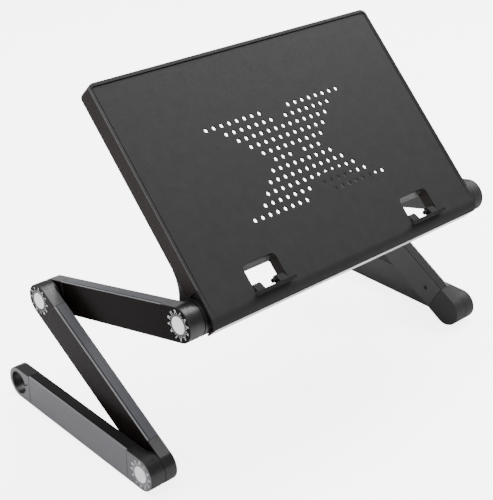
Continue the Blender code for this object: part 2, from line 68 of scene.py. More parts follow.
MERGE = 2e-6               # points nearer than this are one point
NOISE_MIDDLE = (0.3, 0.7)  # most of a noise value lies between these
LOOP_STEPS = 96            # steps round every loop of a joint end


# ---- names -----------------------------------------------------------------------------------
class Side(Enum):
    """The two mirrored sides of the table, with the sign of their X."""

    LEFT = ("left", -1.0)
    RIGHT = ("right", 1.0)

    @property
    def label(self) -> str:
        """Name used in node and body names."""
        return self.value[0]

    @property
    def sign(self) -> float:
        """Sign of X on this side."""
        return self.value[1]


class Segment(Enum):
    """The segments of a leg: name, joint with the button, far joint, slab number, button end."""

    UPPER = ("upper", "top", "rear", 0, "front")
    MIDDLE = ("middle", "rear", "front", 1, "rear")
    LOWEST = ("lowest", "front", "foot", 2, "front")

    @property
    def label(self) -> str:
        """Name used in node and body names."""
        return self.value[0]

    @property
    def joint(self) -> str:
        """Joint whose push button this segment carries."""
        return self.value[1]

    @property
    def far(self) -> str:
        """Joint or foot at the other end."""
        return self.value[2]

    @property
    def slab(self) -> int:
        """Place in the stack of segments, 0 next to the tray."""
        return self.value[3]

    @property
    def button_end(self) -> str:
        """Name of the end that holds the button."""
        return self.value[4]


# ---- finishes --------------------------------------------------------------------------------
class Wiring:
    """Adds and links the shader nodes of one material."""

    def __init__(self, name: str) -> None:
        """Starts a material with its Principled shader.

        Args:
            name: the material's name.
        """
        self.material = bpy.data.materials.new(name)
        self.material.use_nodes = True
        self.tree = self.material.node_tree
        self.shader = self.tree.nodes["Principled BSDF"]

    def add(self, kind: str, **values: object) -> bpy.types.Node:
        """Adds a node.

        Args:
            kind: the node's type.
            **values: attributes of the node, or inputs by name with _ for a blank.

        Returns:
            The new node.
        """
        node = self.tree.nodes.new(kind)
        for key, value in values.items():
            if hasattr(node, key) and key != "scale":
                setattr(node, key, value)
            else:
                node.inputs[key.replace("_", " ").title()].default_value = value
        return node

    def link(self, source: bpy.types.NodeSocket, target: bpy.types.NodeSocket) -> None:
        """Joins an output to an input."""
        self.tree.links.new(source, target)

    def noise(self, vector: bpy.types.NodeSocket, scale: float, detail: float = 3.0) -> bpy.types.NodeSocket:
        """Smooth noise over a coordinate.

        Args:
            vector: coordinate in metres.
            scale: blobs per metre.
            detail: octaves.

        Returns:
            The noise value, about 0.5 on average.
        """
        node = self.add("ShaderNodeTexNoise", scale=scale, detail=detail)
        self.link(vector, node.inputs["Vector"])
        return node.outputs["Fac"]

    def spread(self, value: bpy.types.NodeSocket, low: float, high: float) -> bpy.types.NodeSocket:
        """Maps the middle of a noise value onto a range.

        Args:
            value: the noise.
            low: result where the noise is 0.3 or less.
            high: result where the noise is 0.7 or more.

        Returns:
            The mapped value.
        """
        node = self.add("ShaderNodeMapRange")
        for socket, number in zip(("From Min", "From Max", "To Min", "To Max"), (*NOISE_MIDDLE, low, high)):
            node.inputs[socket].default_value = number
        self.link(value, node.inputs["Value"])
        return node.outputs["Result"]

    def tint(self, value: bpy.types.NodeSocket, dark: tuple, light: tuple) -> None:
        """Colours the shader between two tones by a value from 0 to 1."""
        node = self.add("ShaderNodeMix", data_type="RGBA")
        self.link(value, node.inputs[0])
        node.inputs[6].default_value = (*dark, 1.0)
        node.inputs[7].default_value = (*light, 1.0)
        self.link(node.outputs[2], self.shader.inputs["Base Color"])

    def bump(self, height: bpy.types.NodeSocket, distance: float, below: bpy.types.Node | None = None
             ) -> bpy.types.Node:
        """Adds a relief.

        Args:
            height: relief value from 0 to 1.
            distance: its full depth in metres.
            below: an earlier relief that this one adds to.

        Returns:
            The bump node, linked to the shader.
        """
        node = self.add("ShaderNodeBump")
        node.inputs["Strength"].default_value = 1.0
        node.inputs["Distance"].default_value = distance
        self.link(height, node.inputs["Height"])
        if below is not None:
            self.link(below.outputs["Normal"], node.inputs["Normal"])
        self.link(node.outputs["Normal"], self.shader.inputs["Normal"])
        return node


def scaled(colour: tuple, share: float) -> tuple:
    """A colour made darker or lighter."""
    return tuple(channel * share for channel in colour)


@dataclass(frozen=True)
class Moulding:
    """Spark-eroded moulded plastic: fine grain, soft cloudiness and uneven gloss."""

    name: str
    colour: tuple
    roughness: float = 0.5
    specular: float = 0.5
    grain: float = 1500.0      # grains per metre
    grain_depth: float = 0.00003
    cloud: float = 70.0        # cloud patches per metre
    cloudiness: float = 0.08   # share by which the colour varies
    patches: float = 6.0       # patches of gloss to a cloud patch
    gloss_spread: float = 0.05
    coarse: float = 4.0        # how many times wider the coarse grain is
    coarse_depth: float = 1.5  # and how many times deeper

    def material(self) -> bpy.types.Material:
        """Builds the material."""
        wiring = Wiring(self.name)
        where = wiring.add("ShaderNodeTexCoord").outputs["Object"]
        cloud = wiring.spread(wiring.noise(where, self.cloud, 5.0), 0.0, 1.0)
        wiring.tint(cloud, scaled(self.colour, 1 - self.cloudiness), scaled(self.colour, 1 + self.cloudiness))
        gloss = wiring.spread(wiring.noise(where, self.cloud * self.patches),
                              self.roughness - self.gloss_spread, self.roughness + self.gloss_spread)
        wiring.link(gloss, wiring.shader.inputs["Roughness"])
        wiring.shader.inputs["Specular IOR Level"].default_value = self.specular
        pits = wiring.add("ShaderNodeTexVoronoi", scale=self.grain)
        wiring.link(where, pits.inputs["Vector"])
        coarse = wiring.bump(wiring.noise(where, self.grain / self.coarse, 2.0),
                             self.grain_depth * self.coarse_depth)
        wiring.bump(pits.outputs["Distance"], self.grain_depth, coarse)
        return wiring.material


@dataclass(frozen=True)
class Anodised:
    """Anodised extrusion: streaks along the length, which runs along the first UV axis."""

    name: str
    colour: tuple
    roughness: float = 0.32
    metallic: float = 0.0
    specular: float = 0.2
    streaks: float = 2200.0    # streaks per metre across
    streak_length: float = 0.05
    streak_depth: float = 0.000006
    variation: float = 0.06    # share by which the colour varies
    broad: float = 8.0         # how many times wider the streaks of colour are
    gloss_spread: float = 0.04

    def material(self) -> bpy.types.Material:
        """Builds the material."""
        wiring = Wiring(self.name)
        uv = wiring.add("ShaderNodeTexCoord").outputs["UV"]
        stretch = wiring.add("ShaderNodeMapping")
        stretch.inputs["Scale"].default_value = (1 / (self.streaks * self.streak_length), 1.0, 1.0)
        wiring.link(uv, stretch.inputs["Vector"])
        streak = wiring.noise(stretch.outputs["Vector"], self.streaks, 2.0)
        broad = wiring.noise(stretch.outputs["Vector"], self.streaks / self.broad)
        wiring.tint(wiring.spread(broad, 0.0, 1.0), scaled(self.colour, 1 - self.variation),
                    scaled(self.colour, 1 + self.variation))
        gloss = wiring.spread(streak, self.roughness - self.gloss_spread, self.roughness + self.gloss_spread)
        wiring.link(gloss, wiring.shader.inputs["Roughness"])
        wiring.shader.inputs["Metallic"].default_value = self.metallic
        wiring.shader.inputs["Specular IOR Level"].default_value = self.specular
        wiring.bump(streak, self.streak_depth)
        return wiring.material


@dataclass(frozen=True)
class TurnedMetal:
    """Lathe-turned metal: fine rings about the axis, with the radius along the second UV axis."""

    name: str
    colour: tuple
    roughness: float = 0.3
    metallic: float = 1.0
    rings: float = 4000.0      # rings per metre of radius
    ring_depth: float = 0.000008
    ring_length: float = 0.02  # share by which the noise is drawn out round the axis
    darkest: float = 0.93
    lightest: float = 1.04
    smoother: float = 0.05
    rougher: float = 0.08

    def material(self) -> bpy.types.Material:
        """Builds the material."""
        wiring = Wiring(self.name)
        uv = wiring.add("ShaderNodeTexCoord").outputs["UV"]
        squeeze = wiring.add("ShaderNodeMapping")
        squeeze.inputs["Scale"].default_value = (self.ring_length, 1.0, 1.0)
        wiring.link(uv, squeeze.inputs["Vector"])
        ring = wiring.noise(squeeze.outputs["Vector"], self.rings, 1.0)
        wiring.tint(wiring.spread(ring, 0.0, 1.0), scaled(self.colour, self.darkest),
                    scaled(self.colour, self.lightest))
        gloss = wiring.spread(ring, self.roughness - self.smoother, self.roughness + self.rougher)
        wiring.link(gloss, wiring.shader.inputs["Roughness"])
        wiring.shader.inputs["Metallic"].default_value = self.metallic
        wiring.bump(ring, self.ring_depth)
        return wiring.material


@dataclass(frozen=True)
class Ink:
    """Printed ink, a little uneven."""

    name: str
    colour: tuple
    roughness: float = 0.55
    wear: float = 1800.0       # worn spots per metre
    worn_share: float = 0.8    # how light the ink is where it is worn most

    def material(self) -> bpy.types.Material:
        """Builds the material."""
        wiring = Wiring(self.name)
        where = wiring.add("ShaderNodeTexCoord").outputs["Object"]
        wear = wiring.spread(wiring.noise(where, self.wear), 0.0, 1.0)
        wiring.tint(wear, scaled(self.colour, self.worn_share), self.colour)
        wiring.shader.inputs["Roughness"].default_value = self.roughness
        return wiring.material


@dataclass
class Finishes:
    """All materials of the table, each made once."""

    tray: bpy.types.Material = field(default_factory=lambda: Moulding(
        "tray_plastic", (0.0172, 0.0170, 0.0172), roughness=0.62, specular=0.2, cloudiness=0.10).material())
    # Darker, browner plastic for the walls: partly their own tone, partly painted shade in the groove under
    # the rim and down the walls of the openings.
    wall: bpy.types.Material = field(default_factory=lambda: Moulding(
        "tray_wall_plastic_and_painted_shade", (0.014, 0.0095, 0.0092), roughness=0.5, specular=0.12,
        cloudiness=0.05).material())
    # Near-white plastic on the front wall: a painted reflection of the pale floor.
    strip: bpy.types.Material = field(default_factory=lambda: Moulding(
        "front_wall_painted_reflection", (0.80, 0.78, 0.76), roughness=0.3, cloudiness=0.04).material())
    # Light copy of the tray plastic: a painted highlight on the rim's crest, and painted light on the leaning
    # back walls of the openings.
    rim: bpy.types.Material = field(default_factory=lambda: Moulding(
        "tray_painted_light_plastic", (0.075, 0.075, 0.075), roughness=0.45, specular=0.4, cloudiness=0.05).material())
    stopper: bpy.types.Material = field(default_factory=lambda: Moulding(
        "stopper_plastic", (0.012, 0.012, 0.012), roughness=0.65, specular=0.1,
        grain_depth=0.00004).material())
    cap: bpy.types.Material = field(default_factory=lambda: Moulding(
        "cap_plastic", (0.006, 0.006, 0.006), roughness=0.36, cloud=120.0, grain_depth=0.00002).material())
    # Matt copy of the cap plastic for the right leg, standing for the tray's shade over that leg.
    matt_cap: bpy.types.Material = field(default_factory=lambda: Moulding(
        "matt_cap_plastic_shaded_leg", (0.024, 0.024, 0.0235), roughness=0.6, specular=0.25, cloud=120.0,
        grain_depth=0.00003).material())
    # Lighter copy of the cap plastic for the flanks of the upper and middle joint ends: a painted sheen from
    # the light above.
    flat: bpy.types.Material = field(default_factory=lambda: Moulding(
        "cap_flats_painted_sheen", (0.060, 0.060, 0.060), roughness=0.4, cloudiness=0.12,
        grain_depth=0.00002).material())
    # One anodised finish in three tones, each a painted reflection: of dark surroundings on the upper and
    # middle segments, of the pale floor on the lowest.
    upper: bpy.types.Material = field(default_factory=lambda: Anodised(
        "anodised_upper_painted_dark_reflection", (0.0020, 0.0007, 0.0004), roughness=0.3, specular=0.03).material())
    middle: bpy.types.Material = field(default_factory=lambda: Anodised(
        "anodised_middle_painted_dark_reflection", (0.0065, 0.0044, 0.0042), roughness=0.3, specular=0.05).material())
    lowest: bpy.types.Material = field(default_factory=lambda: Anodised(
        "anodised_lowest_painted_floor_reflection", (0.115, 0.112, 0.124), roughness=0.4, variation=0.04).material())
    inner: bpy.types.Material = field(default_factory=lambda: Anodised(
        "anodised_inner_faces", (0.038, 0.038, 0.038), roughness=0.4, specular=0.3).material())
    # Narrow faces lightened as painted top light.
    narrow: bpy.types.Material = field(default_factory=lambda: Anodised(
        "anodised_narrow_painted_top_light", (0.078, 0.079, 0.088), roughness=0.42, specular=0.3).material())
    # Dark copy of the narrow faces: painted shade on the lowest segment and on the right leg.
    dark: bpy.types.Material = field(default_factory=lambda: Anodised(
        "anodised_narrow_painted_shade", (0.009, 0.009, 0.0095), roughness=0.45, specular=0.1).material())
    # Painted highlight along the rounded edges of the beams.
    bright: bpy.types.Material = field(default_factory=lambda: Anodised(
        "anodised_edges_painted_highlight", (0.16, 0.16, 0.17), roughness=0.4, specular=0.5).material())
    # Painted shade in the beams' grooves.
    groove: bpy.types.Material = field(default_factory=lambda: Anodised(
        "anodised_grooves_painted_shade", (0.002, 0.002, 0.002), roughness=0.6, specular=0.1).material())
    button: bpy.types.Material = field(default_factory=lambda: TurnedMetal(
        "button_metal", (0.90, 0.89, 0.92), roughness=0.4, metallic=0.5).material())
    # Dark zinc on screws, pins and springs; on the screw heads its darkness also stands for painted shade in
    # the holes they sit in.
    steel: bpy.types.Material = field(default_factory=lambda: TurnedMetal(
        "dark_zinc_and_painted_hole_shade", (0.030, 0.030, 0.030), roughness=0.45).material())
    nylon: bpy.types.Material = field(default_factory=lambda: Moulding(
        "gear_nylon", (0.72, 0.70, 0.64), roughness=0.5, cloudiness=0.03).material())
    ink: bpy.types.Material = field(default_factory=lambda: Ink("dial_ink", (0.95, 0.95, 0.95)).material())


# ---- grids of points ---------------------------------------------------------------------------
@dataclass(frozen=True)
class Place:
    """A local frame: its origin in the world, and the world directions of its axes as rows."""

    origin: np.ndarray
    axes: np.ndarray

    def world(self, points: np.ndarray) -> np.ndarray:
        """World coordinates of local points: the origin plus each coordinate times its axis."""
        return self.origin + points @ self.axes


@dataclass(frozen=True)
class Patch:
    """A grid of points (rows, columns, 3) with texture coordinates in metres.

    The material is one number, or one for each quad.
    """

    points: np.ndarray
    uv: np.ndarray
    material: int | np.ndarray = 0

    @staticmethod
    def of(points: np.ndarray, material: int = 0) -> "Patch":
        """A patch whose UV is the length run along its rows and along its columns.

        Args:
            points: grid of points.
            material: material number of its faces.

        Returns:
            The patch.
        """
        across = np.linalg.norm(np.diff(points, axis=1), axis=-1).mean(axis=0)
        along = np.linalg.norm(np.diff(points, axis=0), axis=-1).mean(axis=1)
        u = np.concatenate([[0.0], np.cumsum(across)])
        v = np.concatenate([[0.0], np.cumsum(along)])
        grid_u, grid_v = np.meshgrid(u, v)
        return Patch(points, np.stack([grid_u, grid_v], axis=-1), material)

    def quads(self) -> np.ndarray:
        """Corner numbers of the quads between neighbouring points."""
        rows, columns = self.points.shape[:2]
        i, j = np.meshgrid(np.arange(rows - 1), np.arange(columns - 1), indexing="ij")
        first = i * columns + j
        return np.stack([first, first + columns, first + columns + 1, first + 1], axis=-1).reshape(-1, 4)


def merged_mesh(name: str, patches: list[Patch], flats: list[tuple[np.ndarray, np.ndarray]] = ()
                ) -> bpy.types.Mesh:
    """Joins patches and flat fillings into one mesh, its faces pointing outwards.

    It is closed wherever its parts meet in points nearer to each other than MERGE.

    Args:
        name: the mesh's name.
        patches: grids of points, which meet in equal points.
        flats: (points, triangles) of flat regions.

    Returns:
        The mesh, with a UV map.
    """
    points, uvs, faces, materials, start = [], [], [], [], 0
    for patch in patches:
        quads = patch.quads()
        points.append(patch.points.reshape(-1, 3))
        uvs.append(patch.uv.reshape(-1, 2))
        faces += (quads + start).tolist()
        materials += np.broadcast_to(patch.material, len(quads)).tolist()
        start += len(points[-1])
    for corners, triangles in flats:
        points.append(corners)
        uvs.append(corners[:, :2])
        faces += (triangles + start).tolist()
        materials += [0] * len(triangles)
        start += len(corners)
    mesh = bpy.data.meshes.new(name)
    mesh.from_pydata(np.concatenate(points).tolist(), [], faces)
    mesh.polygons.foreach_set("material_index", materials)
    corner_of = np.empty(len(mesh.loops), dtype=np.int32)
    mesh.loops.foreach_get("vertex_index", corner_of)
    layer = mesh.uv_layers.new(name="length")
    layer.data.foreach_set("uv", np.concatenate(uvs)[corner_of].astype(np.float32).ravel())
    work = bmesh.new()
    work.from_mesh(mesh)
    bmesh.ops.remove_doubles(work, verts=work.verts, dist=MERGE)
    bmesh.ops.recalc_face_normals(work, faces=work.faces)
    work.to_mesh(mesh)
    work.free()
    return mesh


def add_piece(name: str, mesh: bpy.types.Mesh, materials: list[bpy.types.Material], body: str,
              nodes: tuple[str, ...] = (), crease: float = 32.0
              ) -> bpy.types.Object:
    """Puts a finished mesh into the scene as a piece that rides on a body.

    Args:
        name: the piece's name.
        mesh: its mesh, in world coordinates.
        materials: its materials, by number.
        body: the body it moves with.
        nodes: the model's nodes that it stands for.
        crease: edges sharper than this many degrees stay crisp.

    Returns:
        The piece.
    """
    piece = bpy.data.objects.new(name, mesh)
    bpy.context.scene.collection.objects.link(piece)
    for material in materials:
        mesh.materials.append(material)
    mesh.shade_smooth()
    mesh.set_sharp_from_angle(angle=math.radians(crease))
    weighted = piece.modifiers.new("weighted_normals", "WEIGHTED_NORMAL")
    weighted.keep_sharp = True
    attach(piece, body)
    if nodes:
        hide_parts(*nodes)
    LOG.info("%s: %d faces on %s", name, len(mesh.polygons), body)
    return piece


def dress_node(name: str, material: bpy.types.Material, bevel: float = 0.0) -> None:
    """Gives a node of the model its material, rounds its edges and smooths its curves.

    Args:
        name: the node.
        material: its material.
        bevel: radius of its edges, or 0 to leave them.
    """
    weld_distance, flat_angle, edge_angle = 1e-5, 0.5, 40.0
    node = frame["nodes"][name]
    node.data.materials.clear()
    node.data.materials.append(material)
    weld = node.modifiers.new("weld", "WELD")
    weld.merge_threshold = weld_distance
    if bevel:
        flatten = node.modifiers.new("flatten", "DECIMATE")
        flatten.decimate_type = "DISSOLVE"
        flatten.angle_limit = math.radians(flat_angle)
        edges = node.modifiers.new("edges", "BEVEL")
        edges.width = bevel
        edges.segments = 2
        edges.limit_method = "ANGLE"
        edges.angle_limit = math.radians(edge_angle)
        edges.use_clamp_overlap = True
    node.data.shade_smooth()
    smooth = node.modifiers.new("weighted_normals", "WEIGHTED_NORMAL")
    smooth.keep_sharp = True
    LOG.info("%s: dressed", name)


def quarter(steps: int) -> tuple[np.ndarray, np.ndarray]:
    """Sine and cosine of angles from 0 to 90 degrees, in equal steps."""
    angle = np.linspace(0.0, math.pi / 2, steps + 1)
    return np.sin(angle), np.cos(angle)


def turned(profile: list[tuple[float, float]], place: Place, count: int = 48, material: int = 0) -> Patch:
    """A profile turned about the height axis of a place.

    A point at angle t lies at (radius cos t, radius sin t, height). Texture: u is the angle times
    10 mm, v the length run along the profile.

    Args:
        profile: (radius, height) pairs.
        place: frame whose third axis is the axis of turning.
        count: steps round.
        material: material number.

    Returns:
        The turned patch.
    """
    texture_radius = 0.010
    radius, height = np.array(profile).T
    angle = np.linspace(0.0, 2 * math.pi, count + 1)
    local = np.stack([radius[:, None] * np.cos(angle), radius[:, None] * np.sin(angle),
                      np.repeat(height[:, None], count + 1, axis=1)], axis=-1)
    run = np.concatenate([[0.0], np.cumsum(np.hypot(np.diff(radius), np.diff(height)))])
    grid_u, grid_v = np.meshgrid(angle * texture_radius, run)
    return Patch(place.world(local), np.stack([grid_u, grid_v], axis=-1), material)


def rounded(corner: tuple[float, float], into: tuple[float, float], out: tuple[float, float],
            radius: float, steps: int = 3) -> list[tuple[float, float]]:
    """Points that round a right-angled profile corner.

    Args:
        corner: the sharp corner.
        into: unit direction in which the profile arrives.
        out: unit direction in which it leaves.
        radius: radius of the round.
        steps: steps of the round.

    Returns:
        Points of the quarter circle from the arriving to the leaving side.
    """
    sine, cosine = quarter(steps)
    start = np.array(corner) - radius * np.array(into)
    points = start + radius * (sine[:, None] * np.array(into) + (1 - cosine)[:, None] * np.array(out))
    return [tuple(point) for point in points]


def corner_arc(across: float, up: float, radius: float, start: float, count: int) -> np.ndarray:
    """Points of a quarter circle, counter-clockwise.

    Args:
        across: first coordinate of its centre.
        up: second coordinate of its centre.
        radius: its radius.
        start: its first angle in degrees.
        count: how many points it has.

    Returns:
        (count, 2) points.
    """
    angle = np.radians(np.linspace(start, start + 90.0, count))
    return np.stack([across + radius * np.cos(angle), up + radius * np.sin(angle)], axis=-1)


# ---- tray --------------------------------------------------------------------------------------
@dataclass
class Tray:
    """The vented panel with its rim, side walls, rolled front strip, openings and skirts."""

    finishes: Finishes
    width: float = 0.420
    depth: float = 0.286
    tilt: float = 45.0
    skin: float = 0.0025
    wall: float = 0.0025
    wall_depth: float = 0.0205
    front_depth: float = 0.0205
    front_inset: float = 0.0032
    rim_rise: float = 0.0011
    rim_width: float = 0.0040
    rim_fade: float = 0.05           # the rim's crest has a painted highlight behind here
    groove_width: float = 0.0010
    groove_depth: float = 0.0005
    corner: float = 0.008
    front_corner: float = 0.0035
    roll_length: float = 0.0125
    roll_drop: float = 0.006
    axis_from_front: float = 0.0225
    axis_below: float = 0.0230
    notch: float = 0.04345           # side walls begin here, behind the barrels
    vent_pitch: float = 0.01115
    vent_radius: float = 0.0025
    vent_rows: int = 11
    vent_columns: int = 19
    vent_centre_from_back: float = 0.1424
    opening_centre: float = 0.1225
    opening_width: float = 0.046
    opening_depth: float = 0.032
    opening_from_front: float = 0.017
    skirt: float = 0.002
    skirt_depth: float = 0.0150
    ledge: float = 0.0045            # how far the back wall of an opening leans forward
    opening_front_corner: float = 0.001
    opening_back_corner: float = 0.0055
    corner_loss: float = 0.0035      # how much smaller the back corners are where the wall leans

    def place(self) -> Place:
        """Frame of the panel: across, up the slope from the front edge, out of the face."""
        hinge = joint_position("left_top_joint")
        cos, sin = math.cos(math.radians(self.tilt)), math.sin(math.radians(self.tilt))
        axes = np.array([[1.0, 0.0, 0.0], [0.0, cos, sin], [0.0, -sin, cos]])
        middle = np.array([0.0, hinge[1], hinge[2]])
        origin = middle - self.axis_from_front * axes[1] + self.axis_below * axes[2]
        return Place(origin, axes)

    def rolled(self, points: np.ndarray) -> np.ndarray:
        """World points; ahead of the crease the height falls by the square of the way past it."""
        ahead = np.clip((self.roll_length - points[..., 1]) / self.roll_length, 0.0, None)
        bent = points.copy()
        bent[..., 2] -= self.roll_drop * ahead ** 2
        return self.place().world(bent)

    def outline(self, inset: float) -> np.ndarray:
        """The panel's rounded rectangle, moved inwards.

        Each straight side has points at the same distances from the front at every inset, so that
        rings of different insets join into a grid. The ring runs counter-clockwise and closes.

        Args:
            inset: distance moved inwards.

        Returns:
            (count, 2) points across and up the slope.
        """
        half, front, back = self.width / 2, self.front_corner, self.corner
        step = 0.0002              # the wall changes its depth over twice this length
        plain_from, plain_clear, plain_count = 0.06, 0.01, 12
        bottom_clear, bottom_count, bend_count = 0.004, 31, 9
        side_rows = np.concatenate([self.roll_rows()[self.roll_rows() > front],
                                    [self.notch - step, self.notch + step],
                                    np.linspace(plain_from, self.depth - back - plain_clear, plain_count)])
        bottom = np.linspace(-half + front + bottom_clear, half - front - bottom_clear, bottom_count)

        def bend(across: float, up: float, radius: float, start: float) -> np.ndarray:
            """One rounded corner of the inset outline."""
            return corner_arc(across, up, radius - inset, start, bend_count)

        def line(x: np.ndarray | float, y: np.ndarray | float) -> np.ndarray:
            """Points with one coordinate held and the other given, whichever is the array."""
            return np.stack(np.broadcast_arrays(np.asarray(x, float), np.asarray(y, float)), axis=-1)
        ring = np.concatenate([
            line(bottom, inset),
            bend(half - front, front, front, -90.0),
            line(half - inset, side_rows),
            bend(half - back, self.depth - back, back, 0.0),
            line(bottom[::-1], self.depth - inset),
            bend(-half + back, self.depth - back, back, 90.0),
            line(-half + inset, side_rows[::-1]),
            bend(-half + front, front, front, 180.0)])
        return np.concatenate([ring, ring[:1]])

    def roll_rows(self) -> np.ndarray:
        """Distances from the front at which the rolled strip is divided."""
        return np.linspace(0.0, self.roll_length, 9)[1:]

    def edge_patch(self) -> tuple[Patch, np.ndarray, np.ndarray]:
        """Rim, side walls and their inner faces as one profile carried round the outline.

        The profile starts on the face, crosses a fine groove, climbs the rim, turns down the
        wall and comes back up inside to the underside of the skin. Its rim height and its wall
        depth depend on how far from the front the outline point lies; the rim is level at the back
        and slopes inwards at the sides.

        Returns:
            The patch (face 0, rim's crest 1, with a painted highlight, groove and walls 2, partly
            darkened as painted shade, front wall 3, with a painted reflection of the floor), and its
            first and last rings, which the flat fillings meet.
        """
        base = self.outline(0.0)
        from_front = base[:, 1]
        ramp_start, ramp, crest_low = 0.0005, 0.0015, 0.1
        hair, fine, edge, foot = 0.0001, 0.0005, 0.0004, 0.0003
        least_wall = 0.004         # a shallower edge has no room for a round at its foot
        rise = self.rim_rise * np.clip((from_front - self.roll_length - ramp_start) / ramp, 0.0, 1.0)
        behind = np.clip((from_front - self.depth + self.corner) / self.corner, 0.0, 1.0)
        on_front = (from_front < MERGE) & (np.abs(base[:, 0]) < self.width / 2 - self.front_inset)
        ahead_deep = np.where(on_front, self.front_depth, self.skin + hair)
        deep = np.where(from_front > self.notch, self.wall_depth, ahead_deep)
        sine, cosine = quarter(3)
        inset, height = [], []

        def station(distance: float, level: np.ndarray | float) -> None:
            """Adds one ring of the profile."""
            inset.append(distance)
            height.append(np.broadcast_to(np.asarray(level, float), from_front.shape))
        sunk = -self.groove_depth * (rise > 0)
        station(self.rim_width + self.groove_width, 0.0)
        station(self.rim_width + self.groove_width - 2 * hair, sunk)
        station(self.rim_width + hair, sunk)
        station(self.rim_width, (crest_low + (1 - crest_low) * behind) * rise)
        station(2 * fine, rise)
        for s, c in zip(sine, cosine):
            station(fine * (1 - s), rise - fine * (1 - c))
        for s, c in zip(sine, cosine):
            station(edge * (1 - c), -deep + edge * (1 - s) * (deep > least_wall))
        station(self.wall - foot, -deep)
        station(self.wall, -deep + hair)
        station(self.wall, -self.skin)
        rings = np.stack([self.outline(distance) for distance in inset])
        local = np.concatenate([rings, np.stack(height)[..., None]], axis=-1)
        whole = Patch.of(self.rolled(local))
        face, crest, walls, front = range(4)
        groove_end, slope_end, crest_end = 3, 5, 8      # rows of quads at which the profile's parts end
        number = np.full((len(rings) - 1, len(base) - 1), walls)
        # Away from the front, the rim's crest is painted with a highlight and the groove beside it with
        # shade; the front wall carries a painted reflection of the floor.
        raised = (rise[:-1] > 0) & (from_front[:-1] > self.rim_fade)
        number[:groove_end, ~raised] = face
        number[groove_end:slope_end] = face
        number[slope_end:crest_end] = np.where(raised, crest, face)
        number[crest_end:, on_front[:-1]] = front
        return Patch(whole.points, whole.uv, number.ravel()), local[0], local[-1]

    def opening_ring(self, side: Side, grow: float, lean: float) -> np.ndarray:
        """Outline of a stopper opening, with small front and large back corners.

        Args:
            side: which opening.
            grow: distance moved outwards.
            lean: share by which the back wall leans forward here.

        Returns:
            (count, 2) closed ring, counter-clockwise.
        """
        centre = side.sign * self.opening_centre
        half = self.opening_width / 2
        front, back = self.opening_front_corner, self.opening_back_corner - self.corner_loss * lean
        low = self.opening_from_front
        high = low + self.opening_depth - self.ledge * lean
        bend_count = 7

        def bend(across: float, up: float, radius: float, start: float) -> np.ndarray:
            """One rounded corner of the grown outline."""
            return corner_arc(across, up, radius + grow, start, bend_count)
        ring = np.concatenate([
            bend(centre + half - front, low + front, front, -90.0),
            bend(centre + half - back, high - back, back, 0.0),
            bend(centre - half + back, high - back, back, 90.0),
            bend(centre - half + front, low + front, front, 180.0)])
        return np.concatenate([ring, ring[:1]])

    def opening_patch(self, side: Side) -> tuple[Patch, np.ndarray, np.ndarray]:
        """Edge of an opening and its skirt: down the inner wall, round its foot, up outside.

        Args:
            side: which opening.

        Returns:
            The patch (edge 0, leaning back wall 1, in the light plastic as painted light, other walls
            2, in the darker plastic as painted shade), and the rings that the top and bottom fillings
            meet.
        """
        edge, foot, drop = 0.0005, 0.0004, 0.0060
        stations = [(edge * (1 - s), -edge * (1 - c)) for s, c in zip(*quarter(3))]
        stations += [(0.0, -drop)]
        stations += rounded((0.0, -self.skirt_depth), (0.0, -1.0), (1.0, 0.0), foot)
        stations += rounded((self.skirt, -self.skirt_depth), (1.0, 0.0), (0.0, 1.0), foot)
        stations += [(self.skirt, -self.skin)]
        lean = [max(0.0, (-height - drop) / (self.skirt_depth - drop)) for _, height in stations]
        rings = np.stack([self.opening_ring(side, grow, share)
                          for (grow, _), share in zip(stations, lean)])
        level = np.array([height for _, height in stations])[:, None, None]
        local = np.concatenate([rings, np.broadcast_to(level, rings.shape[:2] + (1,))], axis=-1)
        whole = Patch.of(self.place().world(local))
        face, leaning, walls = range(3)
        edge_end, drop_end = 2, 4                       # rows of quads at which the profile's parts end
        back_wall = slice(11, 17)                       # and columns of the back wall
        number = np.full((len(stations) - 1, rings.shape[1] - 1), walls)
        number[:edge_end] = face
        # The leaning back wall is painted light; the drop below the edge and the other walls are painted
        # shade.
        number[drop_end:, back_wall] = leaning
        return Patch(whole.points, whole.uv, number.ravel()), local[0], local[-1]

    def vent_centres(self) -> np.ndarray:
        """Lattice places of the vents: an hourglass, widest in its front and back rows.

        Returns:
            (count, 2) places across and up the slope.
        """
        gaps = ((0, 7), (2, 8), (3, 9), (4, 9), (5, 9), (6, 8))    # columns open from either edge, by row
        row, column = np.meshgrid(np.arange(self.vent_rows), np.arange(self.vent_columns), indexing="ij")
        low = np.array([gap[0] for gap in gaps])[np.minimum(row, self.vent_rows - 1 - row)]
        high = np.array([gap[1] for gap in gaps])[np.minimum(row, self.vent_rows - 1 - row)]
        from_edge = np.minimum(column, self.vent_columns - 1 - column)
        open_here = (from_edge >= low) & (from_edge <= high)
        x = (column - (self.vent_columns - 1) / 2) * self.vent_pitch
        s = self.depth - self.vent_centre_from_back + ((self.vent_rows - 1) / 2 - row) * self.vent_pitch
        return np.stack([x[open_here], s[open_here]], axis=-1)

    def vent_patches(self) -> tuple[list[Patch], list[np.ndarray], list[np.ndarray]]:
        """Walls of all vents: a small round, a straight bore and a small round below.

        Returns:
            The patches, and the upper and the lower rings that the fillings meet.
        """
        edge, flare, steps = 0.0004, 0.0002, 24
        sine, cosine = quarter(3)
        radius = np.concatenate([self.vent_radius + edge * (1 - sine),
                                 [self.vent_radius, self.vent_radius + flare]])
        height = np.concatenate([-edge * (1 - cosine), [-self.skin + flare, -self.skin]])
        angle = np.linspace(0.0, 2 * math.pi, steps + 1)
        wave = np.stack([np.cos(angle), np.sin(angle)], axis=-1)
        wave[-1] = wave[0]
        rings = self.vent_centres()[:, None, None, :] + radius[None, :, None, None] * wave
        level = np.broadcast_to(height[None, :, None, None], rings.shape[:3] + (1,))
        local = np.concatenate([rings, level], axis=-1)
        patches = [Patch.of(self.place().world(vent)) for vent in local]
        return patches, [vent[0] for vent in local], [vent[-1] for vent in local]

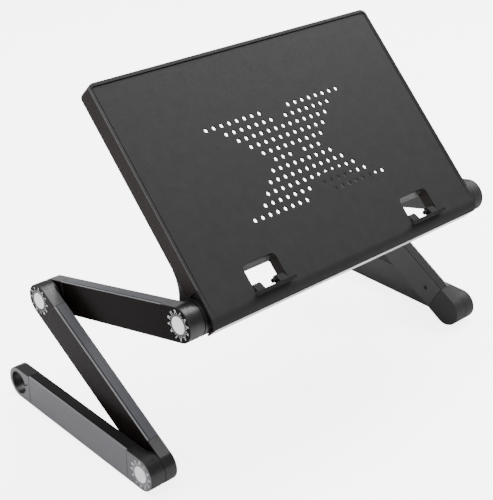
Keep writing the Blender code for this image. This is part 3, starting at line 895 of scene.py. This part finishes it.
    def filling(self, rings: list[np.ndarray], fold_inset: float) -> tuple[np.ndarray, np.ndarray]:
        """Flat web between the outline and all holes, divided along the rolled strip's rows.

        Args:
            rings: closed rings of (across, up, height); the first is the outline.
            fold_inset: how far inside the panel's edge the rows end.

        Returns:
            World points and triangles.
        """
        tolerance = 1e-7
        points, edges, start = [], [], 0
        for ring in rings:
            count = len(ring) - 1
            index = start + np.arange(count)
            edges.append(np.stack([index, np.roll(index, -1)], axis=-1))
            points.append(ring[:-1, :2])
            start += count
        rows = self.roll_rows()[self.roll_rows() > self.front_corner]
        half = self.width / 2 - fold_inset
        ends = np.stack([np.stack([np.full_like(rows, -half), rows], axis=-1),
                         np.stack([np.full_like(rows, half), rows], axis=-1)], axis=1).reshape(-1, 2)
        edges.append(start + np.arange(2 * len(rows)).reshape(-1, 2))
        points.append(ends)
        flat = np.concatenate(points)
        result = geometry.delaunay_2d_cdt([Vector(point) for point in flat.tolist()],
                                          np.concatenate(edges).tolist(), [], 0, tolerance)
        corners = np.array([tuple(point) for point in result[0]])
        first = [sources[0] if sources else -1 for sources in result[3]]
        known = np.array(first) >= 0
        corners[known] = flat[np.array(first)[known]]
        triangles = np.array([list(face) for face in result[2]])
        centre = corners[triangles].mean(axis=1)
        odd = np.zeros(len(centre), dtype=int)
        for ring in rings:
            odd += inside_ring(centre, ring[:, :2])
        triangles = triangles[odd % 2 == 1]
        level = float(rings[0][0, 2])
        local = np.concatenate([corners, np.full((len(corners), 1), level)], axis=-1)
        return self.rolled(local), triangles

    def build(self) -> None:
        """Builds the tray's panel as one mesh in place of its node."""
        edge, top, bottom = self.edge_patch()
        openings = [self.opening_patch(side) for side in Side]
        vents, upper, lower = self.vent_patches()
        tops = [top] + [opening[1] for opening in openings] + upper
        bottoms = [bottom] + [opening[2] for opening in openings] + lower
        flats = [self.filling(tops, self.rim_width + self.groove_width), self.filling(bottoms, self.wall)]
        patches = [edge] + [opening[0] for opening in openings] + vents
        mesh = merged_mesh("tray_panel", patches, flats)
        materials = [self.finishes.tray, self.finishes.rim, self.finishes.wall, self.finishes.strip]
        add_piece("tray_panel", mesh, materials, "tray_body", ("tray",),
                  crease=50.0)

    def dress(self) -> None:
        """Dresses the brackets, stoppers and pins that belong to the tray."""
        for side in Side:
            dress_node(f"{side.label}_hinge_ear", self.finishes.cap, bevel=0.0004)
            dress_node(f"{side.label}_stopper", self.finishes.stopper, bevel=0.0003)
            for lug in ("left", "right"):
                dress_node(f"{side.label}_stopper_{lug}_pin", self.finishes.steel)


def inside_ring(points: np.ndarray, ring: np.ndarray) -> np.ndarray:
    """Even-odd test of many points against one closed ring.

    Each edge of the ring that crosses a point's level to its right flips the answer.

    Args:
        points: (count, 2) points.
        ring: (corners, 2) ring whose last corner repeats its first.

    Returns:
        1 for each point inside, otherwise 0.
    """
    a, b = ring[:-1], ring[1:]
    px, py = points[:, 0, None], points[:, 1, None]
    spans = (a[:, 1] > py) != (b[:, 1] > py)
    drop = np.where(b[:, 1] == a[:, 1], 1.0, b[:, 1] - a[:, 1])
    crossing = a[:, 0] + (b[:, 0] - a[:, 0]) * (py - a[:, 1]) / drop
    return (spans & (px < crossing)).sum(axis=1) % 2


def joint_position(name: str) -> np.ndarray:
    """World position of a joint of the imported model."""
    found = [joint for joint in frame["record"]["behaviour"]["joints"] if joint["name"] == name]
    return np.array(found[0]["pos_m"], float)


# ---- legs --------------------------------------------------------------------------------------
@dataclass
class JointEnds:
    """Shapes of the moulded joint ends. A loop has 96 points from straight up, counter-clockwise."""

    radius: float = 0.01975
    seam: float = 0.0235
    tongue: float = 0.026
    beam_wall: float = 0.0018
    play: float = 0.0003
    thick: float = 0.0155
    pitch: float = 0.0194
    hole: float = 0.0102
    gear_tip: float = 0.01475
    gear_root: float = 0.01335
    smooth_pocket: float = 0.0149
    socket: float = 0.0142
    rib_reach: float = 0.0088
    edge: float = 0.0005
    parting: float = 0.00012
    lip: float = 0.0003
    rib_half_angle: float = 5.0

    def loop(self, inset: float, tongued: bool) -> np.ndarray:
        """Outline of a joint end: a half round, straight flanks and the seam, with the tongue.

        Args:
            inset: distance moved inwards.
            tongued: whether the tongue stands out of the seam.

        Returns:
            (97, 2) closed loop.
        """
        radius, seam = self.radius - inset, self.seam - inset
        reach = self.radius - self.beam_wall - self.play
        tip = seam + self.tongue if tongued else seam
        flank_steps, seam_steps = 12, (3, 5, 8, 5, 3)
        angle = np.radians(np.linspace(90.0, 270.0, LOOP_STEPS // 2 + 1))
        half_round = np.stack([radius * np.cos(angle), radius * np.sin(angle)], axis=-1)
        flank = np.linspace(0.0, seam, flank_steps + 1)[1:]
        corners = np.array([[seam, -radius], [seam, -reach], [tip, -reach],
                            [tip, reach], [seam, reach], [seam, radius]])
        parts = [corners[k] + (corners[k + 1] - corners[k]) * np.linspace(0.0, 1.0, steps + 1)[1:, None]
                 for k, steps in enumerate(seam_steps)]
        low = np.stack([flank, np.full_like(flank, -radius)], axis=-1)
        high = np.stack([flank[::-1] - flank[0], np.full_like(flank, radius)], axis=-1)
        return np.concatenate([half_round, low] + parts + [high])

    def circle(self, radius: float | np.ndarray) -> np.ndarray:
        """Round loop; the radius may vary with the 97 angles."""
        angle = np.radians(np.linspace(90.0, 450.0, LOOP_STEPS + 1))
        return np.stack([radius * np.cos(angle), radius * np.sin(angle)], axis=-1)

    def toothed(self) -> np.ndarray:
        """Radii of the gear pocket: 24 straight-sided teeth, four points to a tooth."""
        step = np.arange(LOOP_STEPS + 1) % 4
        share = np.array([1.0, 0.5, 0.0, 0.5])[step]
        return self.gear_root + (self.gear_tip - self.gear_root) * share

    def ribbed(self) -> np.ndarray:
        """Radii of the open socket, with one key rib towards the beam."""
        angle = np.linspace(90.0, 450.0, LOOP_STEPS + 1)
        return np.where(np.abs(angle - 360.0) < self.rib_half_angle, self.rib_reach, self.socket)

    def shell(self) -> list[tuple[np.ndarray, float]]:
        """Stations of the outer skin from the outer face to the inner face, with a parting line."""
        sine, cosine = quarter(3)
        out, into = self.beam_wall + self.play, self.thick - self.beam_wall - self.play
        stations = [(self.loop(self.edge * (1 - s), False), self.edge * (1 - c))
                    for s, c in zip(sine, cosine)]
        stations += [(self.loop(0.0, False), out), (self.loop(0.0, True), out)]
        middle, foot, crest = self.thick / 2, 0.0004, 0.0001
        stations += [(self.loop(0.0, True), middle - foot), (self.loop(-self.parting, True), middle - crest),
                     (self.loop(-self.parting, True), middle + crest), (self.loop(0.0, True), middle + foot)]
        stations += [(self.loop(0.0, True), into), (self.loop(0.0, False), into)]
        stations += [(self.loop(self.edge * (1 - c), False), self.thick - self.edge * (1 - s))
                     for s, c in zip(sine, cosine)]
        return stations

    def button_end(self) -> list[tuple[np.ndarray, float]]:
        """Outer half of a joint: button hole, toothed pocket and the raised boss inside."""
        sine, cosine = quarter(3)
        clearance, back = 0.0003, 0.0026
        lip, top, boss = self.lip, self.pitch - clearance, self.radius - clearance
        stations = [(self.circle(self.toothed()), back), (self.circle(self.hole), back)]
        stations += [(self.circle(self.hole + lip * (1 - c)), lip * (1 - s)) for s, c in zip(sine, cosine)]
        stations += self.shell()
        stations += [(self.circle(boss), self.thick), (self.circle(boss), top - lip),
                     (self.circle(boss - lip), top)]
        return stations + [(self.circle(self.toothed()), top), stations[0]]

    def plain_end(self) -> list[tuple[np.ndarray, float]]:
        """Inner half of a joint: smooth pocket, spring seat and stem bore, closed back."""
        stem_bore, stem_floor = 0.0033, 0.0138
        seat, seat_floor, pocket_floor = 0.0065, 0.0110, 0.0090
        dish, dish_floor = 0.0125, 0.0120
        pocket, lip = self.smooth_pocket, self.lip
        wells = ((0.0, stem_floor), (stem_bore, stem_floor), (stem_bore, seat_floor), (seat, seat_floor),
                 (seat, pocket_floor), (pocket, pocket_floor), (pocket, lip), (pocket + lip, 0.0))
        stations = [(self.circle(radius), height) for radius, height in wells]
        stations += self.shell()
        return stations + [(self.circle(dish), self.thick), (self.circle(dish_floor), self.thick - lip),
                           (self.circle(0.0), self.thick - lip)]

    def foot_end(self) -> list[tuple[np.ndarray, float]]:
        """Unused joint end: an open socket right through, with its key rib."""
        ring, lip = self.ribbed(), self.lip
        stations = [(self.circle(ring), self.thick - lip), (self.circle(ring), lip),
                    (self.circle(ring + lip), 0.0)]
        stations += self.shell()
        return stations + [(self.circle(ring + lip), self.thick), stations[0]]

    def mesh(self, name: str, stations: list[tuple[np.ndarray, float]], place: Place) -> bpy.types.Mesh:
        """Joins the stations' loops into one closed mesh.

        Args:
            name: the mesh's name.
            stations: (loop, height) pairs in order.
            place: the segment's frame.

        Returns:
            The mesh; the outer face has material 1, the flanks 2 and everything else 0.
        """
        loops = np.stack([loop for loop, _ in stations])
        level = np.array([height for _, height in stations])[:, None, None]
        local = np.concatenate([loops, np.broadcast_to(level, loops.shape[:2] + (1,))], axis=-1)
        whole = Patch.of(place.world(local))
        face, flank = 1, 2
        patches = []
        for row in range(len(stations) - 1):
            rows = slice(row, row + 2)
            on_face = bool((level[rows] < MERGE).all())
            uv = local[rows, :, :2] if on_face else whole.uv[rows]
            flat = (np.abs(local[rows, :, 1]) > self.radius - MERGE) & (local[rows, :, 0] > -MERGE)
            on_flat = flat[:, :-1].all(axis=0) & flat[:, 1:].all(axis=0)
            patches.append(Patch(whole.points[rows], uv, np.where(on_flat, flank, face if on_face else 0)))
        return merged_mesh(name, patches)


@dataclass
class Extrusion:
    """The hollow beam between two joint ends."""

    half: float = 0.01975
    thick: float = 0.0155
    wall: float = 0.0018
    length: float = 0.237
    seam: float = 0.0238
    edge: float = 0.0005
    groove_from: float = 0.0021
    groove_to: float = 0.0032
    groove_depth: float = 0.0006
    chamfer: float = 0.0002

    def section(self) -> tuple[np.ndarray, np.ndarray]:
        """Outline of the beam's section: rounded edges and one groove in each narrow face.

        Returns:
            (count, 2) closed outline across and inward, and the material number of each stretch:
            0 on the outer face, 1 on the narrow ones, 2 on the inner face, 3 between the outer face
            and the groove, with a painted highlight along the edge, 4 in the groove, with painted shade.
        """
        flank = rounded((self.half, 0.0), (1.0, 0.0), (0.0, 1.0), self.edge)
        bottom, slant = self.half - self.groove_depth, 0.0001
        flank += [(self.half, self.groove_from), (bottom, self.groove_from + slant),
                  (bottom, self.groove_to - slant), (self.half, self.groove_to)]
        flank += rounded((self.half, self.thick), (0.0, 1.0), (-1.0, 0.0), self.edge)
        right = np.array(flank)
        left = right[::-1] * (-1.0, 1.0)
        outline = np.concatenate([right, left, right[:1]])
        count, groove = len(right), 4
        flank_number = np.ones(count - 1, dtype=int)
        flank_number[:groove] = 3
        flank_number[groove:groove + 3] = 4
        number = np.concatenate([flank_number, [2], flank_number[::-1], [0]])
        return outline, number

    def mesh(self, name: str, place: Place) -> bpy.types.Mesh:
        """Sweeps the section between the two seams and back inside the bore.

        The inner outline is the outer one held back by the wall: each coordinate is clipped to the
        smaller rectangle. The ends have a hairline chamfer.

        Args:
            name: the mesh's name.
            place: the segment's frame.

        Returns:
            The mesh, with the section's material numbers.
        """
        outline, number = self.section()

        def held_back(inset: float) -> np.ndarray:
            """The outline clipped to a rectangle this much smaller on every side."""
            across = np.clip(outline[:, 0], -self.half + inset, self.half - inset)
            return np.stack([across, np.clip(outline[:, 1], inset, self.thick - inset)], axis=-1)
        low, high = self.seam, self.length - self.seam
        bore, rim = held_back(self.wall), held_back(self.chamfer)
        stations = [(bore, low), (rim, low), (outline, low + self.chamfer), (outline, high - self.chamfer),
                    (rim, high), (bore, high), (bore, low)]
        local = np.stack([np.column_stack([np.full(len(loop), a), loop]) for loop, a in stations], axis=1)
        whole = Patch.of(place.world(local))
        run = np.concatenate([[0.0], np.cumsum(np.linalg.norm(np.diff(outline, axis=0), axis=1))])
        along = np.array([a for _, a in stations])
        uv = np.stack(np.broadcast_arrays(along[None, :], run[:, None]), axis=-1)
        strips = [Patch(whole.points[k:k + 2], uv[k:k + 2], int(number[k])) for k in range(len(number))]
        return merged_mesh(name, strips)


@dataclass
class Leg:
    """One leg: three segments with their joint ends, buttons, dials, gears, springs and screws."""

    side: Side
    finishes: Finishes
    ends: JointEnds = field(default_factory=JointEnds)
    beam: Extrusion = field(default_factory=Extrusion)
    upper_face: float = 0.2335
    pitch: float = 0.0194
    length: float = 0.237
    screw_at: float = 0.042
    button_radius: float = 0.0099
    flange_radius: float = 0.0124
    dish: tuple = ((0.0, 0.0002), (0.0055, 0.00012), (0.0082, 0.0))    # radius and depth in its face
    spokes: tuple = (48, 0.0, 0.0116, 0.00014, 0.0005)      # count, shift, distance, half width, half height
    dashes: tuple = (24, 0.5, 0.0131, 0.00065, 0.00024)     # the same of the broken ring
    number_ring: float = 0.0153

    def corner(self, name: str) -> np.ndarray:
        """Position of a joint, or of the foot's socket, one beam length behind the front joint."""
        if name == "foot":
            return joint_position(f"{self.side.label}_front_joint") + np.array([0.0, self.length, 0.0])
        return joint_position(f"{self.side.label}_{name}_joint")

    def frame_of(self, segment: Segment, far: bool = False) -> Place:
        """Frame of a segment, from its button joint, or from its far end looking back.

        Args:
            segment: which segment.
            far: whether to start at the far end.

        Returns:
            Along, across and inward.
        """
        near_end, far_end = self.corner(segment.joint), self.corner(segment.far)
        if far:
            near_end, far_end = far_end, near_end
        along = (far_end - near_end) * (0.0, 1.0, 1.0)
        along /= np.linalg.norm(along)
        across = np.array([0.0, -along[2], along[1]])
        inward = np.array([-self.side.sign, 0.0, 0.0])
        origin = near_end.copy()
        origin[0] = self.side.sign * (self.upper_face + segment.slab * self.pitch)
        return Place(origin, np.stack([along, across, inward]))

    def name(self, segment: Segment, part: str) -> str:
        """Node name of a part of a segment."""
        return f"{self.side.label}_{segment.label}_{part}"

    def build_segment(self, segment: Segment) -> None:
        """Builds the beam, its two joint ends and its two screws.

        Args:
            segment: which segment.
        """
        near, far = self.frame_of(segment), self.frame_of(segment, far=True)
        body = self.name(segment, "leg")
        look = self.finishes
        # Outer faces take their segment's painted reflection; narrow faces are lightened as painted top
        # light, with painted shade on the lowest; the flanks of the upper and middle joint ends carry a
        # painted sheen.
        outer, narrow, flank = {Segment.UPPER: (look.upper, look.narrow, look.flat),
                                Segment.MIDDLE: (look.middle, look.narrow, look.flat),
                                Segment.LOWEST: (look.lowest, look.dark, look.cap)}[segment]
        cap = look.cap
        # The right leg lies in the tray's shade: its narrow faces take the painted-shade copy, and its caps
        # and flanks the matt copy without the painted sheen.
        if self.side is Side.RIGHT:
            narrow, flank, cap = look.dark, look.matt_cap, look.matt_cap
        materials = [outer, narrow, look.inner, look.bright, look.groove]
        mesh = self.beam.mesh(self.name(segment, "extrusion"), near)
        add_piece(self.name(segment, "extrusion"), mesh, materials, body,
                  (self.name(segment, "beam"),))
        far_end = self.ends.foot_end() if segment is Segment.LOWEST else self.ends.plain_end()
        for end, stations, place in ((segment.button_end, self.ends.button_end(), near),
                                     (segment.far, far_end, far)):
            piece = self.name(segment, f"{end}_end")
            mesh = self.ends.mesh(piece, stations, place)
            add_piece(piece, mesh, [cap, outer, flank], body,
                      (self.name(segment, f"{end}_cap"),))
            screw = self.name(segment, f"{end}_cross_screw")
            add_piece(screw, self.screw_mesh(screw, place), [look.steel], body,
                      (self.name(segment, f"{end}_screw"),))

    def screw_mesh(self, name: str, place: Place) -> bpy.types.Mesh:
        """Pan-head screw: a shank, and a domed head with a cross recess.

        The head's height over its rim is the rise times the root of one minus the square of the
        relative radius, less the recess, which falls off from the two arms of a cross.

        Args:
            name: the mesh's name.
            place: the segment's frame.

        Returns:
            The mesh.
        """
        head, brim, rise, shank, tip, seat = 0.0027, 0.0002, 0.0007, 0.0015, 0.0085, self.ends.thick
        recess_depth, arm_half, arm_slope, arm_reach, reach_slope = 0.0006, 0.0004, 0.0002, 0.0017, 0.0003
        dome_steps, round_steps = 14, 64
        radius = np.array([0.0, shank, shank, head, head])
        height = np.array([tip, tip, seat, seat, seat + brim])
        dome_from = len(radius)
        dome = np.linspace(head, 0.0, dome_steps + 1)[1:]
        angle = np.linspace(0.0, 2 * math.pi, round_steps + 1)
        radius = np.concatenate([radius, dome])[:, None]
        height = np.concatenate([height, seat + brim + rise * np.sqrt(1 - (dome / head) ** 2)])[:, None]
        x, y = radius * np.cos(angle), radius * np.sin(angle)
        arm = np.minimum(np.abs(x), np.abs(y))
        recess = recess_depth * np.clip((arm_half - arm) / arm_slope, 0.0, 1.0)
        recess = recess * np.clip((arm_reach - radius) / reach_slope, 0.0, 1.0)
        recess[:dome_from] = 0.0
        local = np.stack([x + self.screw_at, y, height - recess], axis=-1)
        return merged_mesh(name, [Patch.of(place.world(local))])

    def build_joint(self, segment: Segment) -> None:
        """Builds the push button, its dial and its spring, and dresses the lock gear.

        Args:
            segment: the segment that carries the button.
        """
        place = self.frame_of(segment)
        joint = f"{self.side.label}_{segment.joint}"
        button, flange = self.button_radius, self.flange_radius
        face, flange_face, back = -0.0006, 0.0029, 0.0050
        round_edge, fine_edge, steps = 0.0006, 0.0002, 72
        profile = [(radius, face + depth) for radius, depth in self.dish]
        profile += rounded((button, face), (1.0, 0.0), (0.0, 1.0), round_edge, 4) + [(button, flange_face)]
        profile += rounded((flange, flange_face), (1.0, 0.0), (0.0, 1.0), fine_edge, 2)
        profile += rounded((flange, back), (0.0, 1.0), (-1.0, 0.0), fine_edge, 2) + [(0.0, back)]
        mesh = merged_mesh(f"{joint}_push_button", [turned(profile, place, steps)])
        add_piece(f"{joint}_push_button", mesh, [self.finishes.button], f"{joint}_push",
                  (f"{joint}_button",))
        add_piece(f"{joint}_dial", self.dial_mesh(f"{joint}_dial", place), [self.finishes.ink],
                  self.name(segment, "leg"))
        self.build_spring(joint, place, self.name(segment, "leg"))
        dress_node(f"{joint}_gear", self.finishes.nylon)

    def build_spring(self, joint: str, place: Place, body: str) -> None:
        """Coil of round wire whose turns crowd towards both ends.

        A point of the wire's centre turns with the angle; its height runs from end to end, less a
        sine of the share run, so that the first and the last turn lie nearly flat.

        Args:
            joint: side and joint of the spring.
            place: the segment's frame.
            body: the body it rides on.
        """
        coil, wire, turns, low, high = 0.0048, 0.00055, 4, 0.01685, 0.02985
        turn_steps, wire_steps, crowding = 28, 12, 0.55
        share = np.linspace(0.0, 1.0, turns * turn_steps + 1)[:, None]
        around = np.linspace(0.0, 2 * math.pi, wire_steps + 1)[None, :]
        share = np.concatenate([share[:1], share, share[-1:]])
        thin = np.concatenate([np.zeros((1, 1)), np.full((len(share) - 2, 1), wire), np.zeros((1, 1))])
        angle = 2 * math.pi * turns * share
        height = low + (high - low) * (share - np.sin(2 * math.pi * share) / (2 * math.pi) * crowding)
        radius = coil + thin * np.cos(around)
        local = np.stack([radius * np.cos(angle), radius * np.sin(angle), height + thin * np.sin(around)],
                         axis=-1)
        mesh = merged_mesh(f"{joint}_coil", [Patch.of(place.world(local))])
        piece = add_piece(f"{joint}_coil", mesh, [self.finishes.steel], body, (f"{joint}_spring",))
        fixed = place.world(np.array([0.0, 0.0, high + wire]))
        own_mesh(piece)

    def dial_mesh(self, name: str, place: Place) -> bpy.types.Mesh:
        """Printed scale round a button: fine ticks, a broken ring and the numbers 1 to 12.

        Each mark is a set of thin bars. A number's digits are drawn with the seven bars of a
        counter display, and stand upright seen from the joint's axis outwards.

        Args:
            name: the mesh's name.
            place: the segment's frame.

        Returns:
            The mesh.
        """
        bars = [np.array([(0.0, ring, across, out, 2 * math.pi * (k + shift) / count) for k in range(count)])
                for count, shift, ring, across, out in (self.spokes, self.dashes)]
        hours = 12
        for number in range(1, hours + 1):
            bars.append(self.number_bars(number, self.number_ring, math.radians(number * 360.0 / hours)))
        rows = np.concatenate(bars)
        return merged_mesh(name, [Patch.of(place.world(bar)) for bar in self.bar_grids(rows)])

    @staticmethod
    def number_bars(number: int, ring: float, angle: float) -> np.ndarray:
        """Bars of a number's digits.

        Args:
            number: the number.
            ring: distance of its middle from the axis.
            angle: its angle round the dial.

        Returns:
            Rows of (across, out, half width, half height, angle).
        """
        tall, wide, thin, digit_pitch = 0.00135, 0.00070, 0.00026, 0.0023
        layout = {"a": (0.0, tall, wide, thin), "b": (wide, tall / 2, thin, tall / 2),
                  "c": (wide, -tall / 2, thin, tall / 2), "d": (0.0, -tall, wide, thin),
                  "e": (-wide, -tall / 2, thin, tall / 2), "f": (-wide, tall / 2, thin, tall / 2),
                  "g": (0.0, 0.0, wide, thin)}
        shapes = {"0": "abcdef", "1": "bc", "2": "abged", "3": "abgcd", "4": "fgbc", "5": "afgcd",
                  "6": "afgedc", "7": "abc", "8": "abcdefg", "9": "abcdfg"}
        digits = str(number)
        rows = []
        for place_in_number, digit in enumerate(digits):
            shift = (place_in_number - (len(digits) - 1) / 2) * digit_pitch
            rows += [(shift + x, ring + y, w, h, angle)
                     for x, y, w, h in (layout[bar] for bar in shapes[digit])]
        return np.array(rows)

    @staticmethod
    def bar_grids(rows: np.ndarray) -> np.ndarray:
        """Boxes of the dial's bars, 0.01 to 0.06 mm off the face, as grids of four rows of five points.

        Where bars cross they are merged only in equal points.

        Args:
            rows: rows of (across, out, half width, half height, angle).

        Returns:
            (bars, 4, 5, 3) local points.
        """
        low, high = -0.00001, -0.00006
        corner = np.array([[-1, -1], [1, -1], [1, 1], [-1, 1], [-1, -1]], float)
        rings = rows[:, None, 0:2] + corner * rows[:, None, 2:4]
        middle = np.broadcast_to(rows[:, None, 0:2], rings.shape)
        flat = np.stack([middle, rings, rings, middle], axis=1)
        angle = rows[:, 4][:, None, None]
        x = flat[..., 0] * np.cos(angle) - flat[..., 1] * np.sin(angle)
        y = flat[..., 0] * np.sin(angle) + flat[..., 1] * np.cos(angle)
        level = np.array([low, low, high, high])[None, :, None]
        return np.stack([x, y, np.broadcast_to(level, x.shape)], axis=-1)

    def build(self) -> None:
        """Builds the whole leg."""
        for segment in Segment:
            self.build_segment(segment)
            self.build_joint(segment)


# ---- studio ------------------------------------------------------------------------------------
@dataclass
class Studio:
    """Pale floor, soft lights and the camera."""

    camera_place: tuple = (-0.8555, -0.91037, 0.8018)
    camera_turn: tuple = (62.618, 0.0, -42.337)
    lens: float = 83.83
    sensor: float = 36.0
    aim: tuple = (0.0, 0.0, 0.2)
    softboxes: tuple = (                 # name, place, side in metres, power in watts
        ("right_softbox", (1.9, 0.3, 2.3), 1.7, 110.0),
        ("top_softbox", (-0.4, 0.3, 2.6), 2.2, 80.0),
        ("left_fill", (-2.3, -0.9, 1.2), 1.6, 20.0))
    surroundings: float = 0.42
    floor_half: float = 40.0
    floor_level: float = -0.0004
    floor_tones: tuple = ((0.93, 0.93, 0.93), (0.95, 0.95, 0.95))
    floor_blobs: float = 3.0             # per metre
    floor_roughness: float = 0.9
    floor_glow: float = 4.5              # seen by the camera alone, so it lights nothing

    def build_floor(self) -> None:
        """Plain pale floor, just under the table."""
        half, level = self.floor_half, self.floor_level
        grid = np.linspace(-half, half, 3)
        x, y = np.meshgrid(grid, grid)
        mesh = bpy.data.meshes.new("floor")
        patch = Patch.of(np.stack([x, y, np.full_like(x, level)], axis=-1))
        mesh.from_pydata(patch.points.reshape(-1, 3).tolist(), [], patch.quads()[:, ::-1].tolist())
        floor = bpy.data.objects.new("floor", mesh)
        bpy.context.scene.collection.objects.link(floor)
        wiring = Wiring("pale_floor")
        where = wiring.add("ShaderNodeTexCoord").outputs["Object"]
        wiring.tint(wiring.noise(where, self.floor_blobs), *self.floor_tones)
        wiring.shader.inputs["Roughness"].default_value = self.floor_roughness
        wiring.shader.inputs["Emission Color"].default_value = (1.0, 1.0, 1.0, 1.0)
        seen = wiring.add("ShaderNodeLightPath").outputs["Is Camera Ray"]
        glow = wiring.add("ShaderNodeMath", operation="MULTIPLY")
        glow.inputs[1].default_value = self.floor_glow
        wiring.link(seen, glow.inputs[0])
        wiring.link(glow.outputs["Value"], wiring.shader.inputs["Emission Strength"])
        mesh.materials.append(wiring.material)

    def build_light(self, name: str, place: tuple, size: float, power: float) -> None:
        """Square softbox aimed at the middle of the table.

        Args:
            name: the light's name.
            place: where it hangs.
            size: side of the softbox.
            power: its power in watts.
        """
        data = bpy.data.lights.new(name, "AREA")
        data.size = size
        data.energy = power
        lamp = bpy.data.objects.new(name, data)
        lamp.location = place
        aim = Vector(self.aim) - Vector(place)
        lamp.rotation_euler = aim.to_track_quat("-Z", "Y").to_euler()
        bpy.context.scene.collection.objects.link(lamp)

    def build(self) -> None:
        """Sets up floor, lights, surroundings and camera."""
        self.build_floor()
        for name, place, size, power in self.softboxes:
            self.build_light(name, place, size, power)
        world = bpy.data.worlds.new("studio")
        world.use_nodes = True
        background = world.node_tree.nodes["Background"]
        background.inputs["Color"].default_value = (1.0, 1.0, 1.0, 1.0)
        background.inputs["Strength"].default_value = self.surroundings
        bpy.context.scene.world = world
        data = bpy.data.cameras.new("camera")
        data.lens = self.lens
        data.sensor_width = self.sensor
        camera = bpy.data.objects.new("camera", data)
        camera.location = self.camera_place
        camera.rotation_euler = tuple(math.radians(angle) for angle in self.camera_turn)
        bpy.context.scene.collection.objects.link(camera)
        bpy.context.scene.camera = camera


def main() -> None:
    """Builds the table's looks and the studio."""
    finishes = Finishes()
    tray = Tray(finishes)
    tray.build()
    tray.dress()
    for side in Side:
        Leg(side, finishes).build()
    Studio().build()
    LOG.info("sizes written")


if __name__ == "__main__":
    main()
